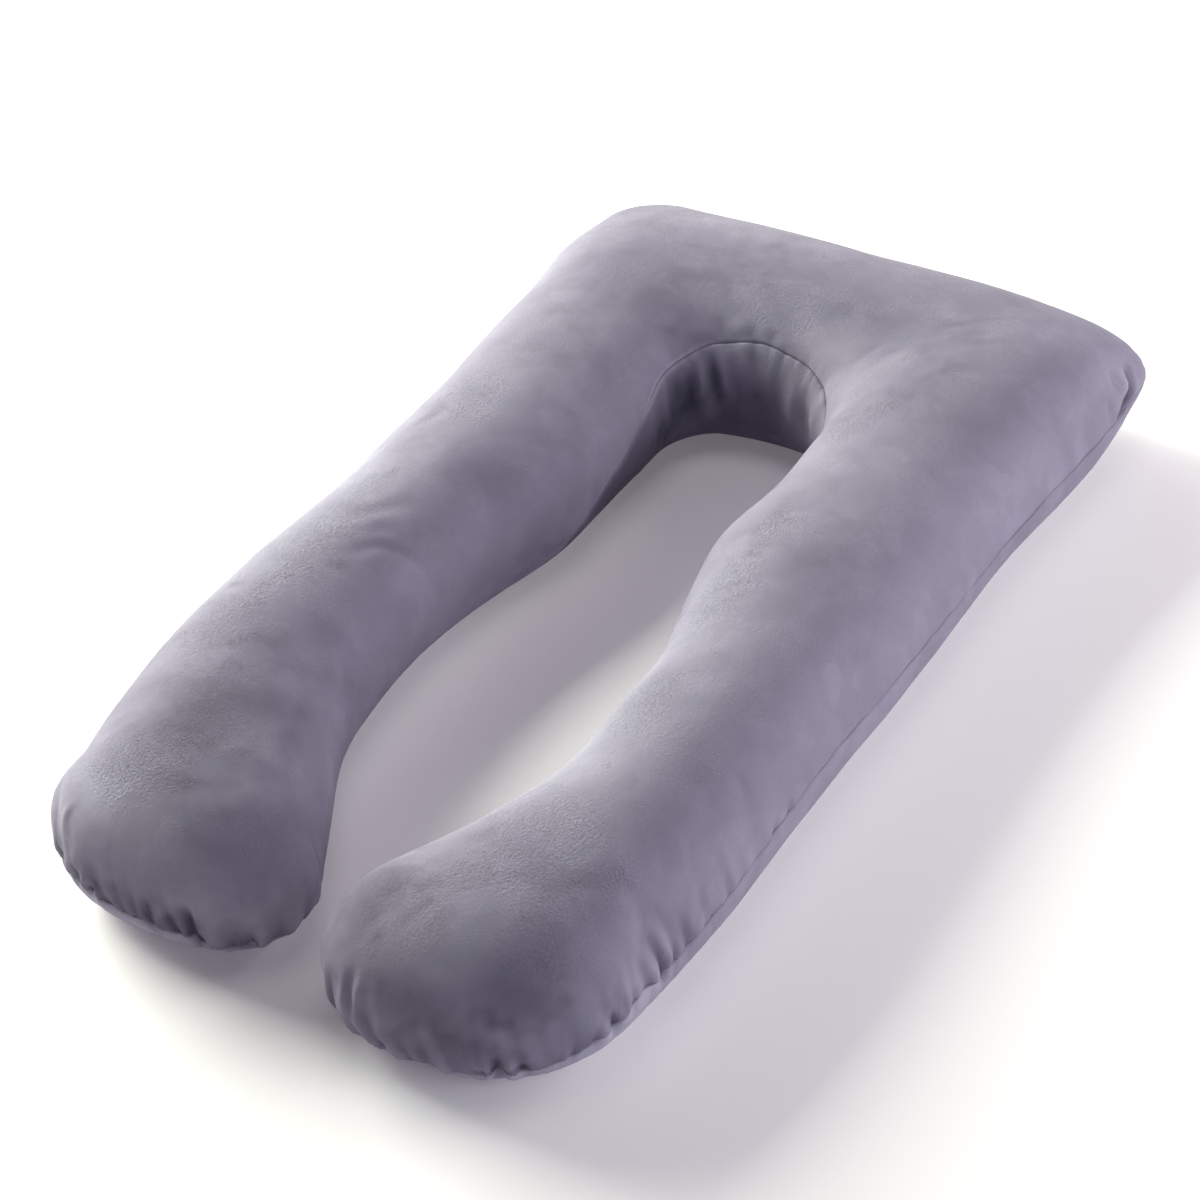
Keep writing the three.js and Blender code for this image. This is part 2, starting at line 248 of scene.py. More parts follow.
@dataclass(frozen=True)
class Crease:
    """A crease in the cover, along a path of places.

    From a foot or from the bend, a place is a length along the edge, plus towards the foot's outer side or
    the right arm, and a length up from the seam. From the middle of the footprint, it is x and y on the top
    panel. A crease is deepest at one share of its path, and fades and widens towards both ends. Skew makes
    the flank on the left of the path steeper than the other. A low bank runs along each flank. A negative
    depth is a ridge. The bank's place and width, and the reach, are in widths of the crease.
    """

    origin: Origin
    path: tuple[tuple[float, float], ...]
    width: float
    depth: float
    deepest: float = 0.5
    skew: float = 0.0
    steps: int = 12
    widening: float = 0.7
    flank: float = 1.6
    bank: float = 0.28
    bank_at: float = 2.1
    bank_width: float = 0.8
    reach: float = 5.0

    def drawn_in(self, places: np.ndarray) -> np.ndarray:
        """How far the crease draws the cover in.

        Args:
            places: Places in the crease's own measure, one row each.

        Returns:
            Depths, one for each place.
        """
        knots = np.array(self.path, float)
        at = np.linspace(0, 1, self.steps + 1)
        lengths = arc_lengths(knots)
        line = np.stack([smooth_curve(lengths, axis, at * lengths[-1]) for axis in knots.T], axis=-1)
        depth = np.zeros(len(places))
        reach = self.reach * self.width
        near = np.all((places > line.min(axis=0) - reach) & (places < line.max(axis=0) + reach), axis=1)
        if not near.any():
            return depth
        start, step = line[:-1], np.diff(line, axis=0)
        gap = places[near][:, None, :] - start
        share = np.clip((gap * step).sum(axis=-1) / (step**2).sum(axis=-1), 0, 1)
        gap = gap - share[..., None] * step
        distance = np.linalg.norm(gap, axis=-1)
        closest = distance.argmin(axis=1)
        pick = np.arange(len(closest)), closest
        side = np.sign(step[closest, 0] * gap[pick][:, 1] - step[closest, 1] * gap[pick][:, 0])
        along = (closest + share[pick]) / self.steps
        ramp = np.minimum(along / self.deepest, (1 - along) / (1 - self.deepest))
        ramp = np.sin(np.clip(ramp, 0, 1) * math.pi / 2)
        width = self.width * (1 + self.widening - self.widening * ramp) * (1 - self.skew * side)
        out = distance[pick] / width
        bank = self.bank * np.exp(-(((out - self.bank_at) / self.bank_width) ** 2))
        depth[near] = self.depth * ramp * (np.exp(-(out**self.flank)) - bank)
        return depth


@dataclass(frozen=True)
class Wrinkles:
    """Faint creases and ridges strewn over a part of the cover, with fixed random places.

    The range of their middles is in the measure of their origin, and their heading is in degrees from its
    first axis. The ranges after the seed are shares that vary the sizes before it.
    """

    origin: Origin
    low: tuple[float, float]
    high: tuple[float, float]
    heading: float
    spread: float
    count: int
    length: float
    width: float
    depth: float
    seed: int
    lengths: tuple[float, float] = (0.6, 1.4)
    bows: tuple[float, float] = (-0.2, 0.2)
    depths: tuple[float, float] = (0.5, 1.2)
    widths: tuple[float, float] = (0.7, 1.4)
    deepest: tuple[float, float] = (0.3, 0.7)
    skews: tuple[float, float] = (-0.4, 0.4)
    ridge_every: int = 3
    ridge: float = -0.7

    def creases(self) -> list[Crease]:
        """The single creases.

        Returns:
            Creases, of which the first and every few after it are ridges.
        """
        draw = np.random.default_rng(self.seed)
        made = []
        for number in range(self.count):
            middle = draw.uniform(self.low, self.high)
            turn = math.radians(self.heading + draw.normal(0, self.spread))
            half = self.length / 2 * draw.uniform(*self.lengths) * np.array([math.cos(turn), math.sin(turn)])
            bow = draw.uniform(*self.bows) * np.array([-half[1], half[0]])
            path = tuple(tuple(place) for place in (middle - half, middle + bow, middle + half))
            sense = self.ridge if number % self.ridge_every == 0 else 1.0
            depth = self.depth * draw.uniform(*self.depths) * sense
            width = self.width * draw.uniform(*self.widths)
            deepest, skew = draw.uniform(*self.deepest), draw.uniform(*self.skews)
            made.append(Crease(self.origin, path, width, depth, deepest, skew))
        return made


@dataclass(frozen=True)
class Stretch:
    """A stretch of the closed edge with soft ends: its middle, from an origin, and half its length."""

    origin: Origin
    at: float
    reach: float


@dataclass(frozen=True)
class Gathers(Stretch):
    """A stretch of the seam that the cover is gathered into, and its puckers' strength above and below."""

    above: float
    below: float


@dataclass(frozen=True)
class Ledge(Stretch):
    """A stretch where the bottom panel starts a little further in than the top one."""

    drop: float


@dataclass(frozen=True)
class PaintedBottomShading(Stretch):
    """Painted light and shade on the bottom panel along a stretch, in full from a depth under the seam.

    The amount is above 0 where the panel is painted lighter, partly as light off the floor and partly as its
    pile lying another way, and below 0 where it is painted darker, as shade.
    """

    amount: float
    depth: float = 1.0


@dataclass(frozen=True)
class PaintedLightAndGrainSpot:
    """A spot with uneven edges: its middle and reach in the measure of its origin.

    As painted light and shade, an amount above 0 paints the cover lighter and one below 0 paints it darker.
    As grain, an amount above 0 makes the pile stand rougher. A higher edge makes the spot's rim sharper.
    """

    origin: Origin
    at: tuple[float, float]
    reach: tuple[float, float]
    amount: float
    edge: float = 2.0


@dataclass(frozen=True)
class Jog(Stretch):
    """A small step in the seam at a sewn-in tuck: the lifts on its plus and minus sides."""

    plus: float
    minus: float


# Form


@dataclass
class Outline:
    """Lengths round the closed edge.

    Attributes:
        along: Length along the edge of each column.
        whole: Length of the closed edge.
        starts: Length along the edge of each origin, and the sense in which places are measured there.
    """

    along: np.ndarray
    whole: float
    starts: dict[Origin, tuple[float, int]]

    def places(self, origin: Origin, at: float = 0.0) -> np.ndarray:
        """Signed length of each column from a place on the edge.

        Args:
            origin: The origin that the place is measured from.
            at: The place.

        Returns:
            Lengths in the sense of the origin.
        """
        start, sense = self.starts[origin]
        gap = sense * (self.along - start) - at
        return gap - self.whole * np.round(gap / self.whole)

    def window(self, stretch: Stretch) -> np.ndarray:
        """Share of each column that lies in a stretch, from 0 to 1."""
        return np.exp(-((self.places(stretch.origin, stretch.at) / stretch.reach) ** 4))

    def turn(self) -> np.ndarray:
        """Angle of each column, once round the closed edge."""
        return 2 * math.pi * self.along / self.whole

    def ring(self) -> np.ndarray:
        """Places of the columns on a circle as long as the edge, so that waves over it close up."""
        turn = self.turn()
        return np.stack([np.cos(turn), np.sin(turn)], axis=-1) * self.whole / (2 * math.pi)


@dataclass
class Chart:
    """The pillow's surface as columns of points from the crest over the seam to the resting face.

    Attributes:
        points: Places of the points, columns by rows by three.
        over: Length up from the seam of each point.
        outline: Lengths round the closed edge.
        crests: Number of the crest point that each column shares.
        seam_row: The row that lies on the seam.
    """

    points: np.ndarray
    over: np.ndarray
    outline: Outline
    crests: np.ndarray
    seam_row: int

    def index(self) -> np.ndarray:
        """Number of the vertex at each column and row.

        Returns:
            Numbers by column and row. Columns share their crest and bottom points.
        """
        columns, rows = self.over.shape
        ends = int(self.crests.max()) + 1
        numbers = np.empty((columns, rows), int)
        numbers[:, 0] = self.crests
        numbers[:, -1] = ends + self.crests
        numbers[:, 1:-1] = 2 * ends + np.arange(columns * (rows - 2)).reshape(columns, rows - 2)
        return numbers

    def vertices(self, values: np.ndarray) -> np.ndarray:
        """Values of the chart, one for each vertex.

        Args:
            values: Values by column and row.

        Returns:
            The same values by vertex number.
        """
        numbers = self.index().ravel()
        found = np.empty((numbers.max() + 1, *values.shape[2:]))
        found[numbers] = values.reshape(len(numbers), *values.shape[2:])
        return found

    def faces(self) -> Faces:
        """Outward faces between neighbouring columns.

        Returns:
            Vertex numbers, three where columns meet at a foot's crest.
        """
        here = self.index()
        there = np.roll(here, -1, axis=0)
        quads = np.stack([here[:, :-1], there[:, :-1], there[:, 1:], here[:, 1:]], axis=-1).reshape(-1, 4)
        return [tuple(dict.fromkeys(quad)) for quad in quads.tolist()]

    def places(self, origin: Origin) -> np.ndarray:
        """Places of all points in the measure of an origin.

        Args:
            origin: The origin.

        Returns:
            Pairs, one row for each point, column after column.
        """
        if origin is PLAN:
            top = np.where(self.over > 0, 0.0, np.inf)
            return (self.points[..., :2] + top[..., None]).reshape(-1, 2)
        along = np.repeat(self.outline.places(origin), self.over.shape[1])
        return np.stack([along, self.over.ravel()], axis=-1)


@dataclass
class PillowForm:
    """Filled form of the pillow, as its two panels would lie if they were sewn without any gathers."""

    back_edge: float = 648.0
    back_bow: float = 7.0
    bend_depth: float = 71.0
    bridge_crown: float = 187.0
    widest_share: float = 0.45
    top_fullness: float = 2.25
    bottom_fullness: float = 3.0
    settle: float = 1.1
    back_seam: float = 0.47
    bend_seam: float = 0.79
    pinch_reach: float = 110.0
    pinch_top: float = 1.6
    pinch_bottom: float = 4.0
    arms: tuple[ArmSection, ...] = (
        ArmSection(-530, 302, 22, 33, 303),
        ArmSection(-430, 321, 74, 87, 313),
        ArmSection(-330, 331, 123, 119, 319),
        ArmSection(-230, 333, 141, 119, 319),
        ArmSection(-130, 329, 144, 117, 321),
        ArmSection(-30, 327, 129, 95, 327),
        ArmSection(70, 331, 104, 76, 330),
        ArmSection(170, 334, 101, 88, 331),
        ArmSection(290, 342, 98, 90, 334),
    )
    crowns: tuple[Crown, ...] = (
        Crown(-530, 168, 167),
        Crown(-230, 167, 172),
        Crown(70, 170, 169),
        Crown(290, 177, 174),
    )
    shoulders: tuple[Shoulder, ...] = (Shoulder(400, 348, 346), Shoulder(500, 357, 356))
    seams: tuple[SeamHeight, ...] = (
        SeamHeight(-530, 0.3, 0.12, 0.12, 0.28),
        SeamHeight(-430, 0.32, 0.11, 0.11, 0.345),
        SeamHeight(-330, 0.34, 0.1, 0.1, 0.385),
        SeamHeight(-130, 0.38, 0.1, 0.1, 0.425),
        SeamHeight(70, 0.42, 0.13, 0.12, 0.425),
        SeamHeight(150, 0.42, 0.33, 0.2, 0.395),
        SeamHeight(220, 0.42, 0.47, 0.34, 0.385),
        SeamHeight(290, 0.42, 0.64, 0.47, 0.375),
    )
    corners: dict[Side, Corner] = field(
        default_factory=lambda: {Side.LEFT: Corner(348, 74, 0.12), Side.RIGHT: Corner(361, 42, 0.4)}
    )
    feet: dict[Side, Foot] = field(
        default_factory=lambda: {
            Side.LEFT: Foot(-163, -625, 2.45, (0.12, 0.14, 0.235, 0.29, 0.3)),
            Side.RIGHT: Foot(134, -650, 2.35, (0.12, 0.12, 0.14, 0.18, 0.28)),
        }
    )
    seam_wander: float = 1.2
    seam_swing: float = 55.0
    jogs: tuple[Jog, ...] = (
        Jog(LEFT, 62, 25, -3, 2),
        Jog(LEFT, -11, 25, 2, -2),
        Jog(LEFT, -63, 45, 4, -7),
        Jog(LEFT, -127, 20, 3, -2),
        Jog(RIGHT, 100, 22, 3, 3),
        Jog(RIGHT, 216, 20, -2, 3),
        Jog(RIGHT, 250, 26, 15, 15),
        Jog(RIGHT, 290, 20, 3, -2),
        Jog(BEND, -120, 90, 10, 10),
        Jog(BEND, 40, 45, -6, -6),
    )
    seam_seed: int = 3
    arm_sections: int = 180
    arm_grading: float = 1.25
    bridge_sections: int = 200
    foot_columns: int = 140
    near_seam: tuple[float, ...] = (0.0, 0.8, 1.8, 3.0, 4.6, 6.6, 9.0, 12.0)
    upper_rows: int = 34
    lower_rows: int = 10
    rest_rows: int = 4
    edge_steps: int = 60
    back_steps: int = 80
    arch_steps: int = 400
    upper_steps: int = 240
    lower_steps: int = 120

    def arm(self, side: Side) -> dict[str, np.ndarray]:
        """Sections of one arm from its foot to the bend.

        Args:
            side: The arm.

        Returns:
            Edges in plan, crowns and seam heights of the sections.
        """
        name = side.name.lower()
        first, last = self.arms[0].y, self.arms[-1].y
        y = first + (last - first) * np.linspace(0, 1, self.arm_sections) ** self.arm_grading
        outer = table_curve(self.arms + self.shoulders, f"{name}_outer", y)
        inner = table_curve(self.arms, f"{name}_inner", y)
        return {
            "outer": np.stack([side.value * outer, y], axis=-1),
            "inner": np.stack([side.value * inner, y], axis=-1),
            "crown": table_curve(self.crowns, name, y),
            "outer_seam": table_curve(self.seams, f"{name}_outer", y),
            "inner_seam": table_curve(self.seams, f"{name}_inner", y),
        }

    def bridge_edge(self, side: Side) -> np.ndarray:
        """Outer edge from the end of an arm over its shoulder and round its back corner.

        Args:
            side: The arm.

        Returns:
            Points in plan.
        """
        corner = self.corners[side]
        rows = (self.arms[-1], *self.shoulders)
        knots = np.array([row.y for row in rows] + [self.back_edge - corner.radius], float)
        edge = np.array([getattr(row, f"{side.name.lower()}_outer") for row in rows] + [corner.edge], float)
        y = np.linspace(knots[0], knots[-1], self.edge_steps)
        shoulder = np.stack([side.value * smooth_curve(knots, edge, y), y], axis=-1)
        turn = np.linspace(0, math.pi / 2, self.edge_steps)[1:]
        x = corner.edge - corner.radius + corner.radius * np.cos(turn)
        round_part = np.stack([side.value * x, knots[-1] + corner.radius * np.sin(turn)], axis=-1)
        return np.concatenate([shoulder, round_part])

    def bridge(self, left: dict[str, np.ndarray], right: dict[str, np.ndarray]) -> dict[str, np.ndarray]:
        """Sections of the bridge from the left arm to the right one.

        Args:
            left: Sections of the left arm.
            right: Sections of the right arm.

        Returns:
            Edges in plan, crowns and seam heights, which rise from the arms' towards the middle.
        """
        from_left, from_right = self.bridge_edge(Side.LEFT), self.bridge_edge(Side.RIGHT)
        across = np.linspace(0, 1, self.back_steps)[1:-1, None]
        bow = 4 * self.back_bow * across * (1 - across) * np.array([0.0, 1.0])
        back = from_left[-1] + (from_right[-1] - from_left[-1]) * across - bow
        share = np.linspace(0, 1, self.bridge_sections + 2)[1:-1]
        middle = (left["inner"][-1] + right["inner"][-1]) / 2
        half_gap = np.linalg.norm(right["inner"][-1] - left["inner"][-1]) / 2
        turn = np.linspace(math.pi, 0, self.arch_steps)[:, None]
        arch = middle + np.concatenate([half_gap * np.cos(turn), self.bend_depth * np.sin(turn)], axis=1)
        swell = np.sin(math.pi * share)
        found = {
            "outer": resample(np.concatenate([from_left, back, from_right[::-1]]), share),
            "inner": resample(arch, share),
        }
        tops = {"crown": self.bridge_crown, "outer_seam": self.back_seam, "inner_seam": self.bend_seam}
        for name, top in tops.items():
            base = left[name][-1] * (1 - share) + right[name][-1] * share
            found[name] = base + (top - base) * swell
        return found

    def foot(self, side: Side, start: dict[str, np.ndarray]) -> dict[str, np.ndarray]:
        """Columns round one foot from its inner side to its outer side.

        Args:
            side: The arm.
            start: The arm's sections, of which the first carries the foot.

        Returns:
            Edges in plan and seam heights.
        """
        foot = self.feet[side]
        middle = (start["inner"][0] + start["outer"][0]) / 2
        across = start["inner"][0] - middle
        along = np.array([foot.x, foot.y]) - middle
        share = np.linspace(0, 1, self.foot_columns + 1)[1:-1]
        turn = math.pi * share
        sideways = np.sign(np.cos(turn)) * np.abs(np.cos(turn)) ** (2 / foot.fullness)
        front = np.sin(turn) ** (2 / foot.fullness)
        return {
            "edge": middle + across * sideways[:, None] + along * front[:, None],
            "seam": smooth_curve(np.linspace(0, 1, len(foot.seam)), np.array(foot.seam), share),
        }

    def pinch(self, edge: np.ndarray) -> np.ndarray:
        """How hard the back corners pinch the cover at points of the outer edge.

        Args:
            edge: Points in plan.

        Returns:
            One pinch for each point.
        """
        total = np.zeros(len(edge))
        for side, corner in self.corners.items():
            gap = np.linalg.norm(edge - np.array([side.value * corner.edge, self.back_edge]), axis=1)
            total += corner.pinch * np.exp(-((gap / self.pinch_reach) ** 2))
        return total

    def profile(
        self, spine: np.ndarray, edge: np.ndarray, crown: np.ndarray, pinch: np.ndarray
    ) -> np.ndarray:
        """Close points of each column's section, from the crest down to the resting face.

        Args:
            spine: Middles of the sections in plan.
            edge: Edges in plan.
            crown: Filled heights.
            pinch: Pinches.

        Returns:
            Points by column and step.
        """
        top = (self.top_fullness - self.pinch_top * pinch)[:, None]
        bottom = (self.bottom_fullness - self.pinch_bottom * pinch)[:, None]
        upper = np.linspace(math.pi / 2, 0, self.upper_steps)[None, :]
        rest = np.arcsin(self.settle ** (-bottom / 2))
        lower = np.linspace(0, 1, self.lower_steps)[None, 1:] * rest
        above = self.widest_share + (1 - self.widest_share) * np.abs(np.sin(upper)) ** (2 / top)
        below = self.widest_share * (1 - self.settle * np.abs(np.sin(lower)) ** (2 / bottom))
        up = np.concatenate([above, below], axis=1)
        sides = [np.clip(np.cos(upper), 0, 1) ** (2 / top), np.cos(lower) ** (2 / bottom)]
        out = np.concatenate(sides, axis=1)
        plan = spine[:, None, :] + (edge - spine)[:, None, :] * out[..., None]
        height = np.clip(crown[:, None] * up, 0, None)
        return np.concatenate([plan, height[..., None]], axis=-1)

    def row_lengths(self, length: float, count: int) -> np.ndarray:
        """Distances of the rows from the seam: set ones close to it, then even ones up to a length."""
        near = np.array(self.near_seam)
        return np.concatenate([near, near[-1] + (length - near[-1]) * np.linspace(0, 1, count + 1)[1:]])

    def chart(self) -> Chart:
        """The whole form as columns of points.

        Returns:
            The chart, still in the sizes' own place in plan.
        """
        left, right = self.arm(Side.LEFT), self.arm(Side.RIGHT)
        bridge = self.bridge(left, right)
        sections = {name: np.concatenate([left[name], bridge[name], right[name][::-1]]) for name in left}
        count = len(sections["crown"])
        order = np.arange(count)
        feet = {side: self.foot(side, arm) for side, arm in ((Side.LEFT, left), (Side.RIGHT, right))}
        first, last = np.zeros(self.foot_columns - 1, int), np.full(self.foot_columns - 1, count - 1)
        crests = np.concatenate([first, order, last, order[::-1]])
        edge, seam = (
            np.concatenate(
                [feet[Side.LEFT][name], sections[outer], feet[Side.RIGHT][name][::-1], sections[inner][::-1]]
            )
            for name, outer, inner in (("edge", "outer", "inner"), ("seam", "outer_seam", "inner_seam"))
        )
        spine = ((sections["outer"] + sections["inner"]) / 2)[crests]
        crown = sections["crown"][crests]
        pinch = np.zeros(len(crests))
        outer = slice(len(first), len(first) + count)
        pinch[outer] = self.pinch(sections["outer"])
        return self.laid_out(edge, spine, crown, seam, pinch, crests)

    def laid_out(
        self,
        edge: np.ndarray,
        spine: np.ndarray,
        crown: np.ndarray,
        seam: np.ndarray,
        pinch: np.ndarray,
        crests: np.ndarray,
    ) -> Chart:
        """Rows of points on each column, close together beside the seam.

        Args:
            edge: Edges in plan.
            spine: Middles of the sections in plan.
            crown: Filled heights.
            seam: Seam heights, as shares of the crown.
            pinch: Pinches.
            crests: Number of the crest point that each column shares.

        Returns:
            The chart.
        """
        dense = self.profile(spine, edge, crown, pinch)
        lengths = arc_lengths(dense)
        outline = self.outline(edge, int(crests.max()) + 1)
        lift = self.seam_lift(outline)
        columns, over = [], []
        for k in range(len(edge)):
            at_seam = np.interp(-seam[k] * crown[k], -dense[k, :, 2], lengths[k]) - lift[k]
            upper = self.row_lengths(at_seam, self.upper_rows)
            lower = self.row_lengths(lengths[k, -1] - at_seam, self.lower_rows)
            places = np.concatenate([at_seam - upper[::-1], at_seam + lower[1:]])
            points = np.stack([np.interp(places, lengths[k], axis) for axis in dense[k].T], axis=-1)
            centre = np.array([*spine[k], 0.0])
            inwards = np.linspace(0, 1, self.rest_rows + 1)[1:, None]
            rest = points[-1] * (1 - inwards) + centre * inwards
            columns.append(np.concatenate([points, rest]))
            reach = np.linalg.norm(points[-1] - centre) * inwards[:, 0]
            over.append(np.concatenate([at_seam - places, at_seam - lengths[k, -1] - reach]))
        seam_row = len(self.near_seam) + self.upper_rows - 1
        return Chart(np.array(columns), np.array(over), outline, crests, seam_row)

    def outline(self, edge: np.ndarray, sections: int) -> Outline:
        """Lengths round the closed edge, and where its origins are.

        Args:
            edge: Edges in plan.
            sections: Number of sections of the arms and the bridge.

        Returns:
            The outline.
        """
        steps = np.linalg.norm(np.roll(edge, -1, axis=0) - edge, axis=1)
        along = np.concatenate([[0.0], np.cumsum(steps)[:-1]])
        tip = self.foot_columns // 2 - 1
        right_tip = 2 * (self.foot_columns - 1) + sections - 1 - tip
        bend = len(edge) - sections + sections // 2
        starts = {
            LEFT: (along[tip], 1),
            RIGHT: (along[right_tip], -1),
            BEND: (along[bend], -1),
        }
        return Outline(along, float(steps.sum()), starts)

    def seam_lift(self, outline: Outline) -> np.ndarray:
        """How far the sewn line wanders up from its drawn one.

        Args:
            outline: Lengths round the edge.

        Returns:
            One lift for each column.
        """
        lift = self.seam_wander * waves(outline.ring(), self.seam_swing, self.seam_seed)
        for jog in self.jogs:
            gap = outline.places(jog.origin, jog.at)
            lift += np.where(gap > 0, jog.plus, jog.minus) * np.exp(-((gap / jog.reach) ** 2))
        return lift


# Surfaces


def linear(colour: str) -> tuple[float, float, float, float]:
    """Linear colour of an sRGB hex value.

    Args:
        colour: Six hex digits after a hash sign.

    Returns:
        Red, green, blue and alpha.
    """
    parts = [int(colour[k : k + 2], 16) / 255 for k in (1, 3, 5)]
    red, green, blue = (c / 12.92 if c <= 0.04045 else ((c + 0.055) / 1.055) ** 2.4 for c in parts)
    return red, green, blue, 1.0


def add_node(tree: Tree, kind: str, inputs: dict[Any, Any] | None = None, **settings: Any) -> bpy.types.Node:
    """Adds one node to a tree.

    Args:
        tree: The tree.
        kind: The node's type.
        inputs: Values or output sockets for its inputs, by name or number.
        **settings: Values of its properties.

    Returns:
        The node.
    """
    node = tree.nodes.new(kind)
    for name, value in settings.items():
        setattr(node, name, value)
    for name, value in (inputs or {}).items():
        if isinstance(value, Socket):
            tree.links.new(value, node.inputs[name])
        else:
            node.inputs[name].default_value = value
    return node


@dataclass(frozen=True)
class Finish:
    """A surface that is made as a procedural material, under a name."""

    name: str

    def surface(self, tree: Tree, place: Socket) -> dict[str, Any]:
        """Adds the nodes of the surface.

        Args:
            tree: The material's tree.
            place: The place on the object, in metres.

        Returns:
            The shader's inputs.
        """
        raise NotImplementedError

    def material(self) -> bpy.types.Material:
        """The surface as a procedural material.

        Returns:
            The material.
        """
        made = bpy.data.materials.new(self.name)
        made.use_nodes = True
        tree = made.node_tree
        tree.nodes.clear()
        place = add_node(tree, "ShaderNodeTexCoord").outputs["Object"]
        shader = add_node(tree, "ShaderNodeBsdfPrincipled", self.surface(tree, place))
        add_node(tree, "ShaderNodeOutputMaterial", {"Surface": shader.outputs[0]})
        return made


@dataclass(frozen=True)
class Plush(Finish):
    """Short-pile polyester plush, knitted, then sheared and finished with a brush.

    The cut fibres scatter light softly and catch it a little at a grazing angle. The pile stands in small
    clumps, which show as grain where light rakes over them, more in patches of the top that were handled.
    Between the clumps the pile is painted darker as shade, most on top. Brushing and touch have left it lying
    in strokes and in marks, each a little lighter or darker than the next. Painted shade darkens the colour
    and makes it more saturated down in the folds and puckers, along the seam, just above the gathers and down
    in the bend. The bottom panel is painted lighter from outside, partly as light off the floor and partly as
    its pile lying another way. Spots of painted light and shade lighten and darken the rest. Clumps are drawn
    at twice their size, as the finest that show. Sizes are in millimetres.
    """

    name: str = "sheared_polyester_plush"
    shade: str = "#7d788c"
    light: str = "#837e92"
    bloom: str = "#efeaf0"
    roughness: float = 0.9
    ior: float = 1.45
    specular: float = 0.1
    sheen: float = 0.05
    sheen_roughness: float = 0.3
    # How much the painted light and shade lighten and darken the colour, and how much more saturated the
    # painted shade makes it
    lean_contrast: float = 0.4
    lean_depth: float = 0.14
    nap_patch: float = 75.0
    patch_span: tuple[float, float] = (0.38, 0.62)
    nap_mark: float = 33.0
    mark_sway: float = 1.3
    mark_blur: float = 0.45
    mark_contrast: float = 0.11
    brush_stroke: float = 11.0
    stroke_turn: float = 0.5
    stroke_stretch: float = 0.3
    stroke_strength: float = 0.6
    stroke_depth: float = 0.35
    pile_clump: float = 2.8
    clump_mean: float = 0.5
    pile_depth: float = 1.9
    # How much darker the pile is painted between the clumps, as shade
    clump_shade_contrast: float = 0.8
    top_span: tuple[float, float] = (0.3, 0.85)
    top_grain: tuple[float, float] = (0.15, 0.85)
    handled_grain: float = 0.5
    least_grain: float = 0.12

    def handled(self, tree: Tree, place: Socket) -> Socket:
        """Adds the patches that were handled.

        Args:
            tree: The material's tree.
            place: The place on the object, in metres.

        Returns:
            Their strength, from 0 to 1.
        """
        patch = add_node(
            tree,
            "ShaderNodeTexNoise",
            {"Vector": place, "Scale": 1 / (self.nap_patch * MM), "Detail": 3.0, "Distortion": 0.6},
        )
        low, high = self.patch_span
        ramp = add_node(
            tree,
            "ShaderNodeMapRange",
            {"Value": patch.outputs[0], "From Min": low, "From Max": high},
            interpolation_type="SMOOTHSTEP",
        )
        return ramp.outputs[0]

    def marks(self, tree: Tree, place: Socket) -> Socket:
        """Adds the marks that touch has left in the pile.

        Args:
            tree: The material's tree.
            place: The place on the object, in metres.

        Returns:
            Their tone, from 0 to 1.
        """
        scale = 1 / (self.nap_mark * MM)
        sway = add_node(tree, "ShaderNodeTexNoise", {"Vector": place, "Scale": scale, "Detail": 4.0})
        swayed = add_node(
            tree,
            "ShaderNodeVectorMath",
            {0: sway.outputs["Color"], 1: (self.nap_mark * self.mark_sway * MM,) * 3, 2: place},
            operation="MULTIPLY_ADD",
        )
        cells = add_node(
            tree,
            "ShaderNodeTexVoronoi",
            {"Vector": swayed.outputs[0], "Scale": scale, "Smoothness": self.mark_blur},
            feature="SMOOTH_F1",
        )
        return add_node(tree, "ShaderNodeSeparateColor", {0: cells.outputs["Color"]}).outputs[0]

    def strokes(self, tree: Tree, place: Socket) -> Socket:
        """Adds the strokes that brushing has left in the pile.

        Args:
            tree: The material's tree.
            place: The place on the object, in metres.

        Returns:
            The direction that the surface faces.
        """
        turn, stretch = (0.0, 0.0, self.stroke_turn), (1.0, self.stroke_stretch, 1.0)
        drawn = add_node(tree, "ShaderNodeMapping", {"Vector": place, "Rotation": turn, "Scale": stretch})
        stroke = add_node(
            tree,
            "ShaderNodeTexNoise",
            {"Vector": drawn.outputs[0], "Scale": 1 / (self.brush_stroke * MM), "Detail": 2.0},
        )
        bump = add_node(
            tree,
            "ShaderNodeBump",
            {
                "Height": stroke.outputs[0],
                "Strength": self.stroke_strength,
                "Distance": self.stroke_depth * MM,
            },
        )
        return bump.outputs[0]

    def grain(self, tree: Tree, handled: Socket) -> Socket:
        """Adds how far the clumps stand out: most on top, where the pile was handled or is rough.

        Args:
            tree: The material's tree.
            handled: Strength of the patches that were handled.

        Returns:
            The strength of their grain.
        """
        rough = add_node(tree, "ShaderNodeAttribute", attribute_name="rough")
        facing = add_node(tree, "ShaderNodeNewGeometry").outputs["Normal"]
        rise = add_node(tree, "ShaderNodeSeparateXYZ", {0: facing}).outputs["Z"]
        low, high = self.top_span
        least, most = self.top_grain
        upwards = add_node(
            tree,
            "ShaderNodeMapRange",
            {"Value": rise, "From Min": low, "From Max": high, "To Min": least, "To Max": most},
        )
        clumped = add_node(
            tree,
            "ShaderNodeMath",
            {0: handled, 1: self.handled_grain, 2: rough.outputs["Fac"]},
            operation="MULTIPLY_ADD",
        )
        raised = add_node(
            tree,
            "ShaderNodeMath",
            {0: clumped.outputs[0], 1: upwards.outputs[0], 2: self.least_grain},
            operation="MULTIPLY_ADD",
        )
        return raised.outputs[0]

